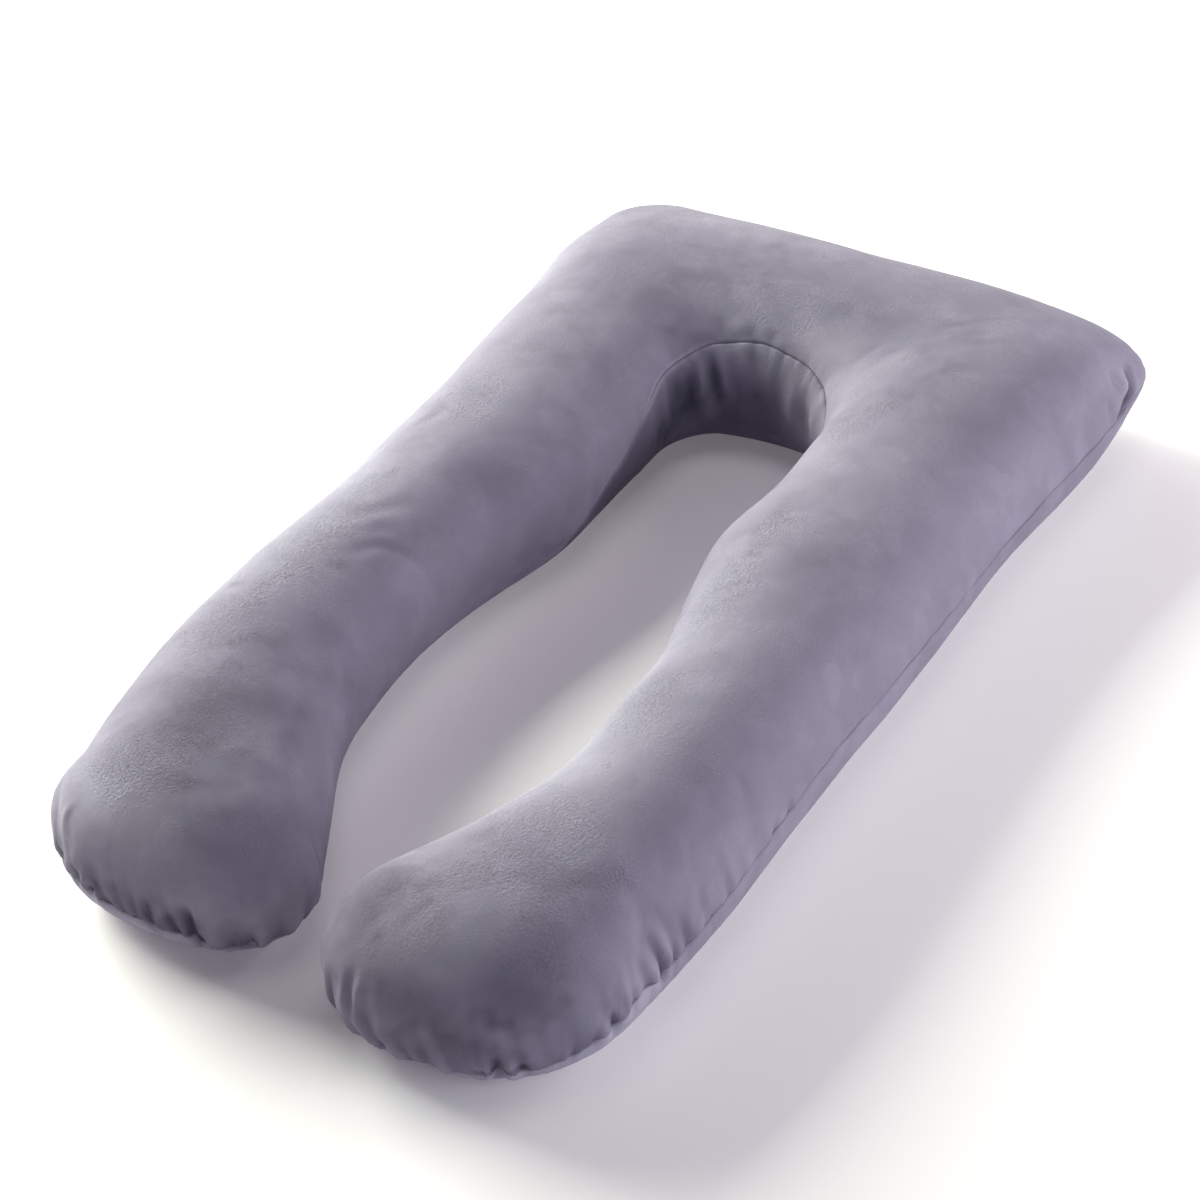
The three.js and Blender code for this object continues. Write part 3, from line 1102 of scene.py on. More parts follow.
    def colour(self, tree: Tree, handled: Socket, marks: Socket, clump_shade: Socket) -> Socket:
        """Adds the dyed pile's colour, which painted light and shade, its marks and the painted shade between
        its clumps vary.

        Args:
            tree: The material's tree.
            handled: Strength of the patches that were handled.
            marks: Tone of the marks.
            clump_shade: Height of the pile, below 0 between the clumps, where it is painted darker as shade.

        Returns:
            The colour.
        """
        dyed = add_node(
            tree,
            "ShaderNodeMix",
            {0: handled, 6: linear(self.shade), 7: linear(self.light)},
            data_type="RGBA",
        )
        # Painted light and shade from the cover: above 0 it lightens the colour, below 0 it darkens it
        lean = add_node(tree, "ShaderNodeAttribute", attribute_name="lean").outputs["Fac"]
        value = 1 - self.mark_contrast / 2
        contrasts = {lean: self.lean_contrast, marks: self.mark_contrast, clump_shade: self.clump_shade_contrast}
        for socket, contrast in contrasts.items():
            step = add_node(
                tree, "ShaderNodeMath", {0: socket, 1: contrast, 2: value}, operation="MULTIPLY_ADD"
            )
            value = step.outputs[0]
        # Painted shade: where the cover is painted darker, its colour is made more saturated too
        shade_saturation = add_node(
            tree, "ShaderNodeMath", {0: lean, 1: -self.lean_depth, 2: 1.0}, operation="MULTIPLY_ADD"
        )
        tint = {"Color": dyed.outputs[2], "Saturation": shade_saturation.outputs[0], "Value": value}
        return add_node(tree, "ShaderNodeHueSaturation", tint).outputs[0]

    def surface(self, tree: Tree, place: Socket) -> dict[str, Any]:
        """Adds the plush's nodes. They read the painted light and shade, and how rough the pile stands, from
        two attributes of the cover.

        Args:
            tree: The material's tree.
            place: The place on the object, in metres.

        Returns:
            The shader's inputs.
        """
        handled = self.handled(tree, place)
        grain = self.grain(tree, handled)
        clumps = add_node(
            tree,
            "ShaderNodeTexNoise",
            {"Vector": place, "Scale": 1 / (self.pile_clump * MM), "Detail": 3.0, "Roughness": 0.7},
        )
        standing = add_node(
            tree, "ShaderNodeMath", {0: clumps.outputs[0], 1: self.clump_mean}, operation="SUBTRACT"
        )
        # Between the clumps the pile is painted darker as shade, most on top where light rakes over it
        clump_shade = add_node(tree, "ShaderNodeMath", {0: standing.outputs[0], 1: grain}, operation="MULTIPLY")
        pile = add_node(
            tree,
            "ShaderNodeBump",
            {
                "Height": clumps.outputs[0],
                "Strength": grain,
                "Distance": self.pile_depth * MM,
                "Normal": self.strokes(tree, place),
            },
        )
        return {
            "Base Color": self.colour(tree, handled, self.marks(tree, place), clump_shade.outputs[0]),
            "Roughness": self.roughness,
            "IOR": self.ior,
            "Specular IOR Level": self.specular,
            "Sheen Weight": self.sheen,
            "Sheen Roughness": self.sheen_roughness,
            "Sheen Tint": linear(self.bloom),
            "Normal": pile.outputs[0],
        }


@dataclass(frozen=True)
class SewingThread(Finish):
    """Spun polyester thread, darker than the plush so that it adds painted shade to the seam line: matt, with
    a fine twist.
    """

    name: str = "spun_polyester_thread"
    # Darker than the plush, as painted shade along the seam line
    colour: str = "#4b4759"
    roughness: float = 0.7
    twist: float = 0.6
    twist_strength: float = 0.4
    twist_depth: float = 0.1

    def surface(self, tree: Tree, place: Socket) -> dict[str, Any]:
        """Adds the thread's nodes.

        Args:
            tree: The material's tree.
            place: The place on the object, in metres.

        Returns:
            The shader's inputs.
        """
        plies = add_node(tree, "ShaderNodeTexNoise", {"Vector": place, "Scale": 1 / (self.twist * MM)})
        bump = add_node(
            tree,
            "ShaderNodeBump",
            {"Height": plies.outputs[0], "Strength": self.twist_strength, "Distance": self.twist_depth * MM},
        )
        return {"Base Color": linear(self.colour), "Roughness": self.roughness, "Normal": bump.outputs[0]}


@dataclass(frozen=True)
class StudioPaper(Finish):
    """Matt white paper, rolled out under the pillow: an even pale ground with a faint tooth.

    It glows as if lit through from below: faintly under the pillow, and more well away from it, so that it
    stays pale as far as it goes.
    """

    name: str = "matt_white_paper"
    colour: str = "#f4f0f6"
    roughness: float = 0.95
    tooth: float = 3.0
    tooth_strength: float = 0.05
    tooth_depth: float = 0.2
    near_glow: float = 0.12
    far_glow: float = 0.9
    glow_from: float = 1700.0
    glow_to: float = 2900.0

    def surface(self, tree: Tree, place: Socket) -> dict[str, Any]:
        """Adds the paper's nodes.

        Args:
            tree: The material's tree.
            place: The place on the object, in metres.

        Returns:
            The shader's inputs.
        """
        away = add_node(tree, "ShaderNodeVectorMath", {0: place}, operation="LENGTH")
        glow = add_node(
            tree,
            "ShaderNodeMapRange",
            {
                "Value": away.outputs["Value"],
                "From Min": self.glow_from * MM,
                "From Max": self.glow_to * MM,
                "To Min": self.near_glow,
                "To Max": self.far_glow,
            },
            interpolation_type="SMOOTHSTEP",
        )
        grain = add_node(tree, "ShaderNodeTexNoise", {"Vector": place, "Scale": 1 / (self.tooth * MM)})
        bump = add_node(
            tree,
            "ShaderNodeBump",
            {"Height": grain.outputs[0], "Strength": self.tooth_strength, "Distance": self.tooth_depth * MM},
        )
        return {
            "Base Color": linear(self.colour),
            "Roughness": self.roughness,
            "Normal": bump.outputs[0],
            "Emission Color": linear(self.colour),
            "Emission Strength": glow.outputs[0],
        }


# Pieces


def link_mesh(name: str, points: np.ndarray, faces: Faces) -> bpy.types.Object:
    """Makes a smooth mesh object at the origin.

    Args:
        name: The object's name.
        points: Vertices in metres.
        faces: Faces that point outwards.

    Returns:
        The object.
    """
    mesh = bpy.data.meshes.new(name)
    mesh.from_pydata(points.tolist(), [], faces)
    mesh.shade_smooth()
    made = bpy.data.objects.new(name, mesh)
    bpy.context.scene.collection.objects.link(made)
    return made


def evaluated_mesh(made: bpy.types.Object) -> bpy.types.Mesh:
    """Mesh of an object with its modifiers applied."""
    graph = bpy.context.evaluated_depsgraph_get()
    return bpy.data.meshes.new_from_object(made.evaluated_get(graph), depsgraph=graph)


def mesh_points(mesh: bpy.types.Mesh) -> np.ndarray:
    """Places of a mesh's vertices.

    Args:
        mesh: The mesh.

    Returns:
        One row for each vertex.
    """
    found = np.empty(len(mesh.vertices) * 3)
    mesh.vertices.foreach_get("co", found)
    return found.reshape(-1, 3)


def vertex_normals(points: np.ndarray, faces: Faces) -> np.ndarray:
    """Outward directions of the vertices of a mesh.

    Args:
        points: Vertices.
        faces: Faces that point outwards.

    Returns:
        Unit vectors.
    """
    mesh = bpy.data.meshes.new("normals")
    mesh.from_pydata(points.tolist(), [], faces)
    mesh.update()
    found = np.empty(len(points) * 3)
    mesh.vertex_normals.foreach_get("vector", found)
    bpy.data.meshes.remove(mesh)
    return found.reshape(-1, 3)


@dataclass
class FillingPressure:
    """Push of the fibre filling against the cover, found by a cloth simulation.

    A remeshed copy of the form, rounded off and so a little smaller, is held along the seam and where it
    rests. It has spare cloth beside the gathered stretches, and pressure blows it up against them, no further
    than a cap.
    """

    voxel: float = 6.0
    rounding: int = 24
    rounding_share: float = 0.5
    spare_cloth: float = 0.14
    spare_reach: float = 45.0
    seam_hold: float = 7.0
    rest_hold: float = 9.0
    weight_steps: int = 16
    frames: int = 20
    cap: float = 12.0
    cloth: dict[str, float] = field(
        default_factory=lambda: {
            "quality": 3,
            "mass": 0.02,
            "tension_stiffness": 15,
            "compression_stiffness": 15,
            "shear_stiffness": 5,
            "bending_stiffness": 0.05,
            "uniform_pressure_force": 4.0,
        }
    )

    def start(self, points: np.ndarray, faces: Faces) -> bpy.types.Object:
        """Remeshed and rounded copy of a form.

        Args:
            points: Vertices of the form, in metres.
            faces: Its faces.

        Returns:
            The copy, as a plain mesh.
        """
        made = link_mesh("filling", points, faces)
        remesh = made.modifiers.new("remesh", "REMESH")
        remesh.mode = "VOXEL"
        remesh.voxel_size = self.voxel * MM
        smooth = made.modifiers.new("round_off", "SMOOTH")
        smooth.factor = self.rounding_share
        smooth.iterations = self.rounding
        mesh = evaluated_mesh(made)
        made.modifiers.clear()
        made.data = mesh
        return made

    def weights(self, made: bpy.types.Object, name: str, values: np.ndarray) -> None:
        """Writes a vertex group, in even steps of weight.

        Args:
            made: The object.
            name: The group's name.
            values: A weight for each vertex, from 0 to 1.
        """
        group = made.vertex_groups.new(name=name)
        levels = np.round(values * self.weight_steps)
        for level in range(1, self.weight_steps + 1):
            group.add(np.flatnonzero(levels == level).tolist(), level / self.weight_steps, "REPLACE")

    def blow_up(self, made: bpy.types.Object) -> None:
        """Runs the simulation, and keeps the capped result as the object's mesh.

        Args:
            made: The object, with its groups.
        """
        scene = bpy.context.scene
        cloth = made.modifiers.new("pressure", "CLOTH")
        settings = cloth.settings
        for name, value in self.cloth.items():
            setattr(settings, name, value)
        settings.use_pressure = True
        settings.effector_weights.gravity = 0
        settings.vertex_group_mass = "held"
        settings.vertex_group_shrink = "spare"
        settings.shrink_min = 0.0
        settings.shrink_max = -self.spare_cloth
        cloth.point_cache.frame_start = 1
        cloth.point_cache.frame_end = self.frames
        for number in range(1, self.frames + 1):
            scene.frame_set(number)
        before = mesh_points(made.data)
        mesh = evaluated_mesh(made)
        moved = mesh_points(mesh) - before
        length = np.linalg.norm(moved, axis=1, keepdims=True)
        LOG.info("filling: %d points, moved %.1f mm on average", len(before), length.mean() / MM)
        moved *= np.minimum(1, self.cap * MM / np.maximum(length, 1e-9))
        mesh.vertices.foreach_set("co", (before + moved).ravel())
        made.modifiers.clear()
        made.data = mesh
        scene.frame_set(1)

    def settled(self, points: np.ndarray, faces: Faces, seam: np.ndarray, gathered: np.ndarray) -> np.ndarray:
        """Points of a form after the filling has blown it up.

        Args:
            points: Vertices of the form, in metres.
            faces: Its faces.
            seam: Points along the seam.
            gathered: How much the cover is gathered at each of those, from 0 to 1.

        Returns:
            New places of the vertices.
        """
        made = self.start(points, faces)
        places = mesh_points(made.data)
        tree = KDTree(len(seam))
        for number, place in enumerate(seam):
            tree.insert(place, number)
        tree.balance()
        found = [tree.find(place) for place in places]
        nearest = np.array([item[1] for item in found])
        gap = np.array([item[2] for item in found]) / MM
        held = np.maximum(gap < self.seam_hold, places[:, 2] < self.rest_hold * MM).astype(float)
        self.weights(made, "held", held)
        self.weights(made, "spare", gathered[nearest] * np.exp(-((gap / self.spare_reach) ** 2)))
        self.blow_up(made)
        finer = made.modifiers.new("finer", "SUBSURF")
        finer.levels = finer.render_levels = 1
        mesh = evaluated_mesh(made)
        surface = BVHTree.FromPolygons(
            [vertex.co[:] for vertex in mesh.vertices], [face.vertices[:] for face in mesh.polygons]
        )
        bpy.data.objects.remove(made)
        return np.array([surface.find_nearest(place)[0] for place in points])


@dataclass
class SeamThread:
    """The sewing thread that shows down in the seam: one short stitch after another along the sewn line."""

    finish: SewingThread = field(default_factory=SewingThread)
    pitch: float = 4.0
    stitch: float = 2.9
    thickness: float = 0.9
    unevenness: float = 0.15
    sides: int = 6
    rings: int = 4
    seed: int = 5

    def tree(self) -> Tree:
        """Node tree that sets stitches along a path.

        Returns:
            The tree, whose inputs are the path, the sizes, a seed and a material.
        """
        tree = bpy.data.node_groups.new("stitches_along_path", "GeometryNodeTree")
        tree.is_modifier = True
        sizes = dict.fromkeys(("Pitch", "Stitch", "Thickness", "Unevenness"), "Float")
        kinds = {"Path": "Geometry", **sizes, "Seed": "Int", "Material": "Material"}
        for name, kind in kinds.items():
            tree.interface.new_socket(name, in_out="INPUT", socket_type=f"NodeSocket{kind}")
        tree.interface.new_socket("Stitches", in_out="OUTPUT", socket_type="NodeSocketGeometry")
        given = add_node(tree, "NodeGroupInput").outputs
        line = add_node(tree, "GeometryNodeMeshToCurve", {"Mesh": given["Path"]})
        steps = add_node(
            tree,
            "GeometryNodeResampleCurve",
            {"Curve": line.outputs[0], "Length": given["Pitch"]},
            mode="LENGTH",
        )
        heading = add_node(tree, "GeometryNodeInputTangent")
        turn = add_node(tree, "FunctionNodeAlignRotationToVector", {"Vector": heading.outputs[0]}, axis="X")
        size = add_node(
            tree, "ShaderNodeCombineXYZ", {0: given["Stitch"], 1: given["Thickness"], 2: given["Thickness"]}
        )
        least, most = (
            add_node(tree, "ShaderNodeMath", {0: 1.0, 1: given["Unevenness"]}, operation=operation)
            for operation in ("SUBTRACT", "ADD")
        )
        chance = add_node(
            tree,
            "FunctionNodeRandomValue",
            {2: least.outputs[0], 3: most.outputs[0], "Seed": given["Seed"]},
            data_type="FLOAT",
        )
        scale = add_node(
            tree, "ShaderNodeVectorMath", {0: size.outputs[0], "Scale": chance.outputs[1]}, operation="SCALE"
        )
        unit = {"Segments": self.sides, "Rings": self.rings, "Radius": 0.5}
        one = add_node(tree, "GeometryNodeMeshUVSphere", unit)
        many = add_node(
            tree,
            "GeometryNodeInstanceOnPoints",
            {
                "Points": steps.outputs[0],
                "Instance": one.outputs["Mesh"],
                "Rotation": turn.outputs[0],
                "Scale": scale.outputs[0],
            },
        )
        real = add_node(tree, "GeometryNodeRealizeInstances", {"Geometry": many.outputs[0]})
        dyed = add_node(
            tree, "GeometryNodeSetMaterial", {"Geometry": real.outputs[0], "Material": given["Material"]}
        )
        add_node(tree, "NodeGroupOutput", {"Stitches": dyed.outputs[0]})
        return tree

    def build(self, path: np.ndarray) -> bpy.types.Object:
        """Makes the stitches along a closed path.

        Args:
            path: Points of the sewn line, in metres.

        Returns:
            The stitches.
        """
        mesh = bpy.data.meshes.new("seam_path")
        count = len(path)
        mesh.from_pydata(path.tolist(), [(k, (k + 1) % count) for k in range(count)], [])
        made = bpy.data.objects.new("seam_thread", mesh)
        bpy.context.scene.collection.objects.link(made)
        tree = self.tree()
        values = {
            "Pitch": self.pitch * MM,
            "Stitch": self.stitch * MM,
            "Thickness": self.thickness * MM,
            "Unevenness": self.unevenness,
            "Seed": self.seed,
            "Material": self.finish.material(),
        }
        sewn = made.modifiers.new("stitches", "NODES")
        sewn.node_group = tree
        for socket in tree.interface.items_tree:
            if socket.in_out == "INPUT" and socket.name in values:
                sewn[socket.identifier] = values[socket.name]
        made.data = evaluated_mesh(made)
        made.modifiers.clear()
        made.data.shade_smooth()
        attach(made, "root")
        LOG.info("%s: %d faces", made.name, len(made.data.polygons))
        return made


@dataclass
class PillowCover:
    """The plush cover: the filled form with its seam, gathers and creases drawn in.

    Sizes are in millimetres. The puckers' rise and reach are shares of their lengths, and their slant is a
    slope. A span holds the least and the most, and a swing holds a wavelength and a height. The filling
    leaves a calm corner, with its place and reach in plan, and the resting face as they are.
    """

    form: PillowForm = field(default_factory=PillowForm)
    filling: FillingPressure = field(default_factory=FillingPressure)
    finish: Plush = field(default_factory=Plush)
    thread: SeamThread = field(default_factory=SeamThread)
    thread_lift: float = 0.5
    fill: float = 0.8
    furrow_depth: float = 1.4
    furrow_width: float = 9.0
    groove_depth: float = 2.4
    groove_width: float = 1.3
    groove_power: float = 1.3
    ledges: tuple[Ledge, ...] = (Ledge(BEND, -170, 110, 1.2), Ledge(BEND, 20, 90, 0.6))
    ledge_width: float = 45.0
    lumps: tuple[tuple[float, float], ...] = ((170.0, 0.8), (80.0, 0.5))
    lump_seed: int = 11
    lump_gap: float = 40.0
    calm_corner: tuple[float, float, float] = (-310.0, 590.0, 170.0)
    calm_rest: float = 2.0
    calm_fade: float = 14.0
    # Painted light and shade on the bottom panel: lighter along the feet and the right arm, partly as light
    # off the floor and partly as its pile lying another way, and darker down in the bend as painted shade
    leans: tuple[PaintedBottomShading, ...] = (
        PaintedBottomShading(LEFT, -50, 210, 1.4),
        PaintedBottomShading(RIGHT, 80, 200, 1.4),
        PaintedBottomShading(RIGHT, 520, 350, 0.25),
        PaintedBottomShading(BEND, -40, 200, -1.0, 60),
        PaintedBottomShading(BEND, -190, 80, -0.5, 10),
        PaintedBottomShading(BEND, 48, 28, 0.45, 15),
        PaintedBottomShading(BEND, 108, 32, -0.1, 10),
        PaintedBottomShading(BEND, -330, 140, -1.1, 6),
    )
    # Spots of painted light and shade that lighten and darken the cover
    painted_light_spots: tuple[PaintedLightAndGrainSpot, ...] = (
        PaintedLightAndGrainSpot(PLAN, (-175, -455), (58, 90), -1.1),
        PaintedLightAndGrainSpot(LEFT, (300, 75), (70, 40), -0.45),
        PaintedLightAndGrainSpot(PLAN, (-215, -315), (50, 60), -0.4),
        PaintedLightAndGrainSpot(PLAN, (-125, -525), (45, 40), -0.4),
        PaintedLightAndGrainSpot(PLAN, (-50, -530), (35, 60), -0.5),
        PaintedLightAndGrainSpot(LEFT, (10, 102), (100, 34), 1.0),
        PaintedLightAndGrainSpot(LEFT, (75, 95), (50, 45), 0.9),
        PaintedLightAndGrainSpot(LEFT, (-163, 38), (48, 38), 1.3, 3),
        PaintedLightAndGrainSpot(LEFT, (25, 16), (60, 28), -0.9, 3),
        PaintedLightAndGrainSpot(LEFT, (-20, 26), (9, 30), -0.6, 4),
        PaintedLightAndGrainSpot(LEFT, (-50, 22), (16, 26), -0.7, 4),
        PaintedLightAndGrainSpot(LEFT, (-92, 8), (30, 10), -0.2, 4),
        PaintedLightAndGrainSpot(RIGHT, (0, 130), (115, 30), 0.5),
        PaintedLightAndGrainSpot(RIGHT, (30, 82), (34, 26), -0.4, 4),
        PaintedLightAndGrainSpot(RIGHT, (120, 88), (38, 32), -0.5, 4),
        PaintedLightAndGrainSpot(RIGHT, (75, 58), (28, 22), -0.35, 4),
        PaintedLightAndGrainSpot(RIGHT, (64, 118), (40, 25), 0.35),
        PaintedLightAndGrainSpot(RIGHT, (62, 38), (62, 24), -0.5, 4),
        PaintedLightAndGrainSpot(PLAN, (72, -575), (45, 50), -1.2, 3),
        PaintedLightAndGrainSpot(PLAN, (255, -570), (45, 45), -0.5),
        PaintedLightAndGrainSpot(PLAN, (195, -530), (45, 45), -0.15),
        PaintedLightAndGrainSpot(PLAN, (178, -340), (40, 110), 0.4),
        PaintedLightAndGrainSpot(RIGHT, (-400, 120), (140, 50), 0.6),
        PaintedLightAndGrainSpot(RIGHT, (-575, 125), (70, 50), 0.35),
        PaintedLightAndGrainSpot(RIGHT, (900, 95), (260, 55), 0.25),
        PaintedLightAndGrainSpot(RIGHT, (1308, 10), (26, 13), -0.9),
        PaintedLightAndGrainSpot(PLAN, (-255, -30), (80, 120), 0.4),
        PaintedLightAndGrainSpot(PLAN, (-270, -235), (40, 105), 0.55),
        PaintedLightAndGrainSpot(PLAN, (-240, -110), (40, 50), 0.35),
        PaintedLightAndGrainSpot(PLAN, (-300, 560), (50, 60), -0.4),
        PaintedLightAndGrainSpot(PLAN, (-160, 545), (110, 40), 0.35),
        PaintedLightAndGrainSpot(PLAN, (290, 555), (50, 50), 0.35),
        PaintedLightAndGrainSpot(PLAN, (-200, 6), (40, 45), -0.45),
        PaintedLightAndGrainSpot(PLAN, (-133, 175), (45, 60), 0.4),
        PaintedLightAndGrainSpot(PLAN, (-160, 430), (110, 110), -0.6, 3),
        PaintedLightAndGrainSpot(PLAN, (20, 465), (90, 60), -0.4, 3),
        PaintedLightAndGrainSpot(PLAN, (63, 406), (45, 30), 0.45, 3),
        PaintedLightAndGrainSpot(PLAN, (-206, 229), (40, 50), -0.4, 3),
        PaintedLightAndGrainSpot(PLAN, (-228, 151), (30, 40), 0.4, 3),
        PaintedLightAndGrainSpot(PLAN, (154, -41), (40, 70), 0.4, 3),
        PaintedLightAndGrainSpot(PLAN, (245, -310), (32, 90), -0.3),
        PaintedLightAndGrainSpot(PLAN, (222, 5), (50, 65), -0.45),
        PaintedLightAndGrainSpot(PLAN, (200, 325), (70, 60), -0.45),
        PaintedLightAndGrainSpot(BEND, (-330, 60), (130, 40), -0.35),
        PaintedLightAndGrainSpot(BEND, (-95, 35), (60, 40), 0.4),
        PaintedLightAndGrainSpot(BEND, (-105, -26), (22, 24), -0.4, 3),
        PaintedLightAndGrainSpot(BEND, (20, -28), (20, 20), -0.3),
        PaintedLightAndGrainSpot(BEND, (0, 0), (60, 3), 0.45, 4),
        PaintedLightAndGrainSpot(BEND, (45, 35), (42, 36), 0.5),
        PaintedLightAndGrainSpot(BEND, (12, -50), (38, 40), 0.3),
        PaintedLightAndGrainSpot(BEND, (75, -60), (30, 30), 0.4),
        PaintedLightAndGrainSpot(BEND, (-104, -42), (30, 30), -0.5),
        PaintedLightAndGrainSpot(BEND, (-115, 0), (80, 5), 0.9, 4),
    )
    roughed: tuple[PaintedLightAndGrainSpot, ...] = (
        PaintedLightAndGrainSpot(PLAN, (-250, -170), (45, 110), 1.4, 4),
        PaintedLightAndGrainSpot(PLAN, (-262, -330), (40, 60), 1.0, 4),
        PaintedLightAndGrainSpot(PLAN, (-240, 120), (40, 60), 0.9, 4),
        PaintedLightAndGrainSpot(PLAN, (155, -60), (35, 70), 1.2, 4),
        PaintedLightAndGrainSpot(PLAN, (165, -250), (40, 70), 1.2, 4),
        PaintedLightAndGrainSpot(PLAN, (150, 60), (25, 40), 1.0, 4),
        PaintedLightAndGrainSpot(PLAN, (150, 260), (35, 40), 0.8, 4),
        PaintedLightAndGrainSpot(PLAN, (180, -470), (70, 80), 1.0, 4),
        PaintedLightAndGrainSpot(PLAN, (-210, -540), (60, 50), 0.9, 4),
        PaintedLightAndGrainSpot(PLAN, (0, 430), (120, 30), 0.4),
    )
    # Painted shade in the folds and puckers and just above the gathers
    fold_shade: float = 0.15
    pucker_shade: float = 0.3
    gather_shade: float = 0.5
    gather_width: float = 13.0
    # Painted shade along the seam, whose strength wanders along the edge
    seam_shade: float = 1.3
    seam_shade_width: float = 1.1
    seam_shade_mean: float = 0.6
    seam_shade_least: float = 0.1
    seam_shade_swing: tuple[float, float] = (90.0, 0.6)
    seam_shade_seed: int = 5
    lean_span: tuple[float, float] = (-1.7, 1.9)
    spot_swings: tuple[tuple[float, float], ...] = ((50.0, 0.22), (19.0, 0.05))
    spot_seed: int = 17
    pucker_lengths: tuple[float, ...] = (9.0, 11.5, 15.0, 19.0, 25.0, 33.0)
    pucker_rise: float = 0.11
    pucker_mean: float = 0.36
    pucker_reach: float = 0.85
    pucker_slant: float = 0.35
    pucker_swing: float = 0.9
    pucker_swings: int = 5
    swing_turns: tuple[int, int] = (9, 60)
    swing_heights: tuple[float, float] = (0.5, 1.0)
    swing_phase: float = 6.0
    pucker_seed: int = 7
    pucker_span: tuple[float, float] = (-0.6, 2.4)
    plain_puckers: float = 0.06
    gathers: tuple[Gathers, ...] = (
        Gathers(LEFT, -45, 205, 0.85, 0.4),
        Gathers(RIGHT, 55, 235, 0.85, 0.35),
        Gathers(RIGHT, 330, 130, 0.35, 0.2),
        Gathers(BEND, -30, 110, 0.05, 0.28),
    )
    wrinkles: tuple[Wrinkles, ...] = (
        Wrinkles(PLAN, (100, -160), (180, 90), 35, 12, 14, 45, 5, 0.7, 21),
        Wrinkles(PLAN, (-325, -430), (-235, 180), 50, 25, 22, 38, 5, 0.8, 22),
        Wrinkles(PLAN, (-285, -590), (-60, -430), 60, 50, 14, 40, 7, 0.6, 23),
        Wrinkles(PLAN, (40, -620), (290, -430), 60, 50, 18, 42, 7, 0.7, 24),
        Wrinkles(RIGHT, (230, 15), (480, 100), 95, 14, 14, 60, 7, 0.7, 25),
        Wrinkles(BEND, (-190, -85), (70, -12), 92, 12, 14, 50, 6, 1.7, 26),
        Wrinkles(PLAN, (80, 330), (240, 470), 40, 18, 10, 60, 8, 0.6, 27),
    )
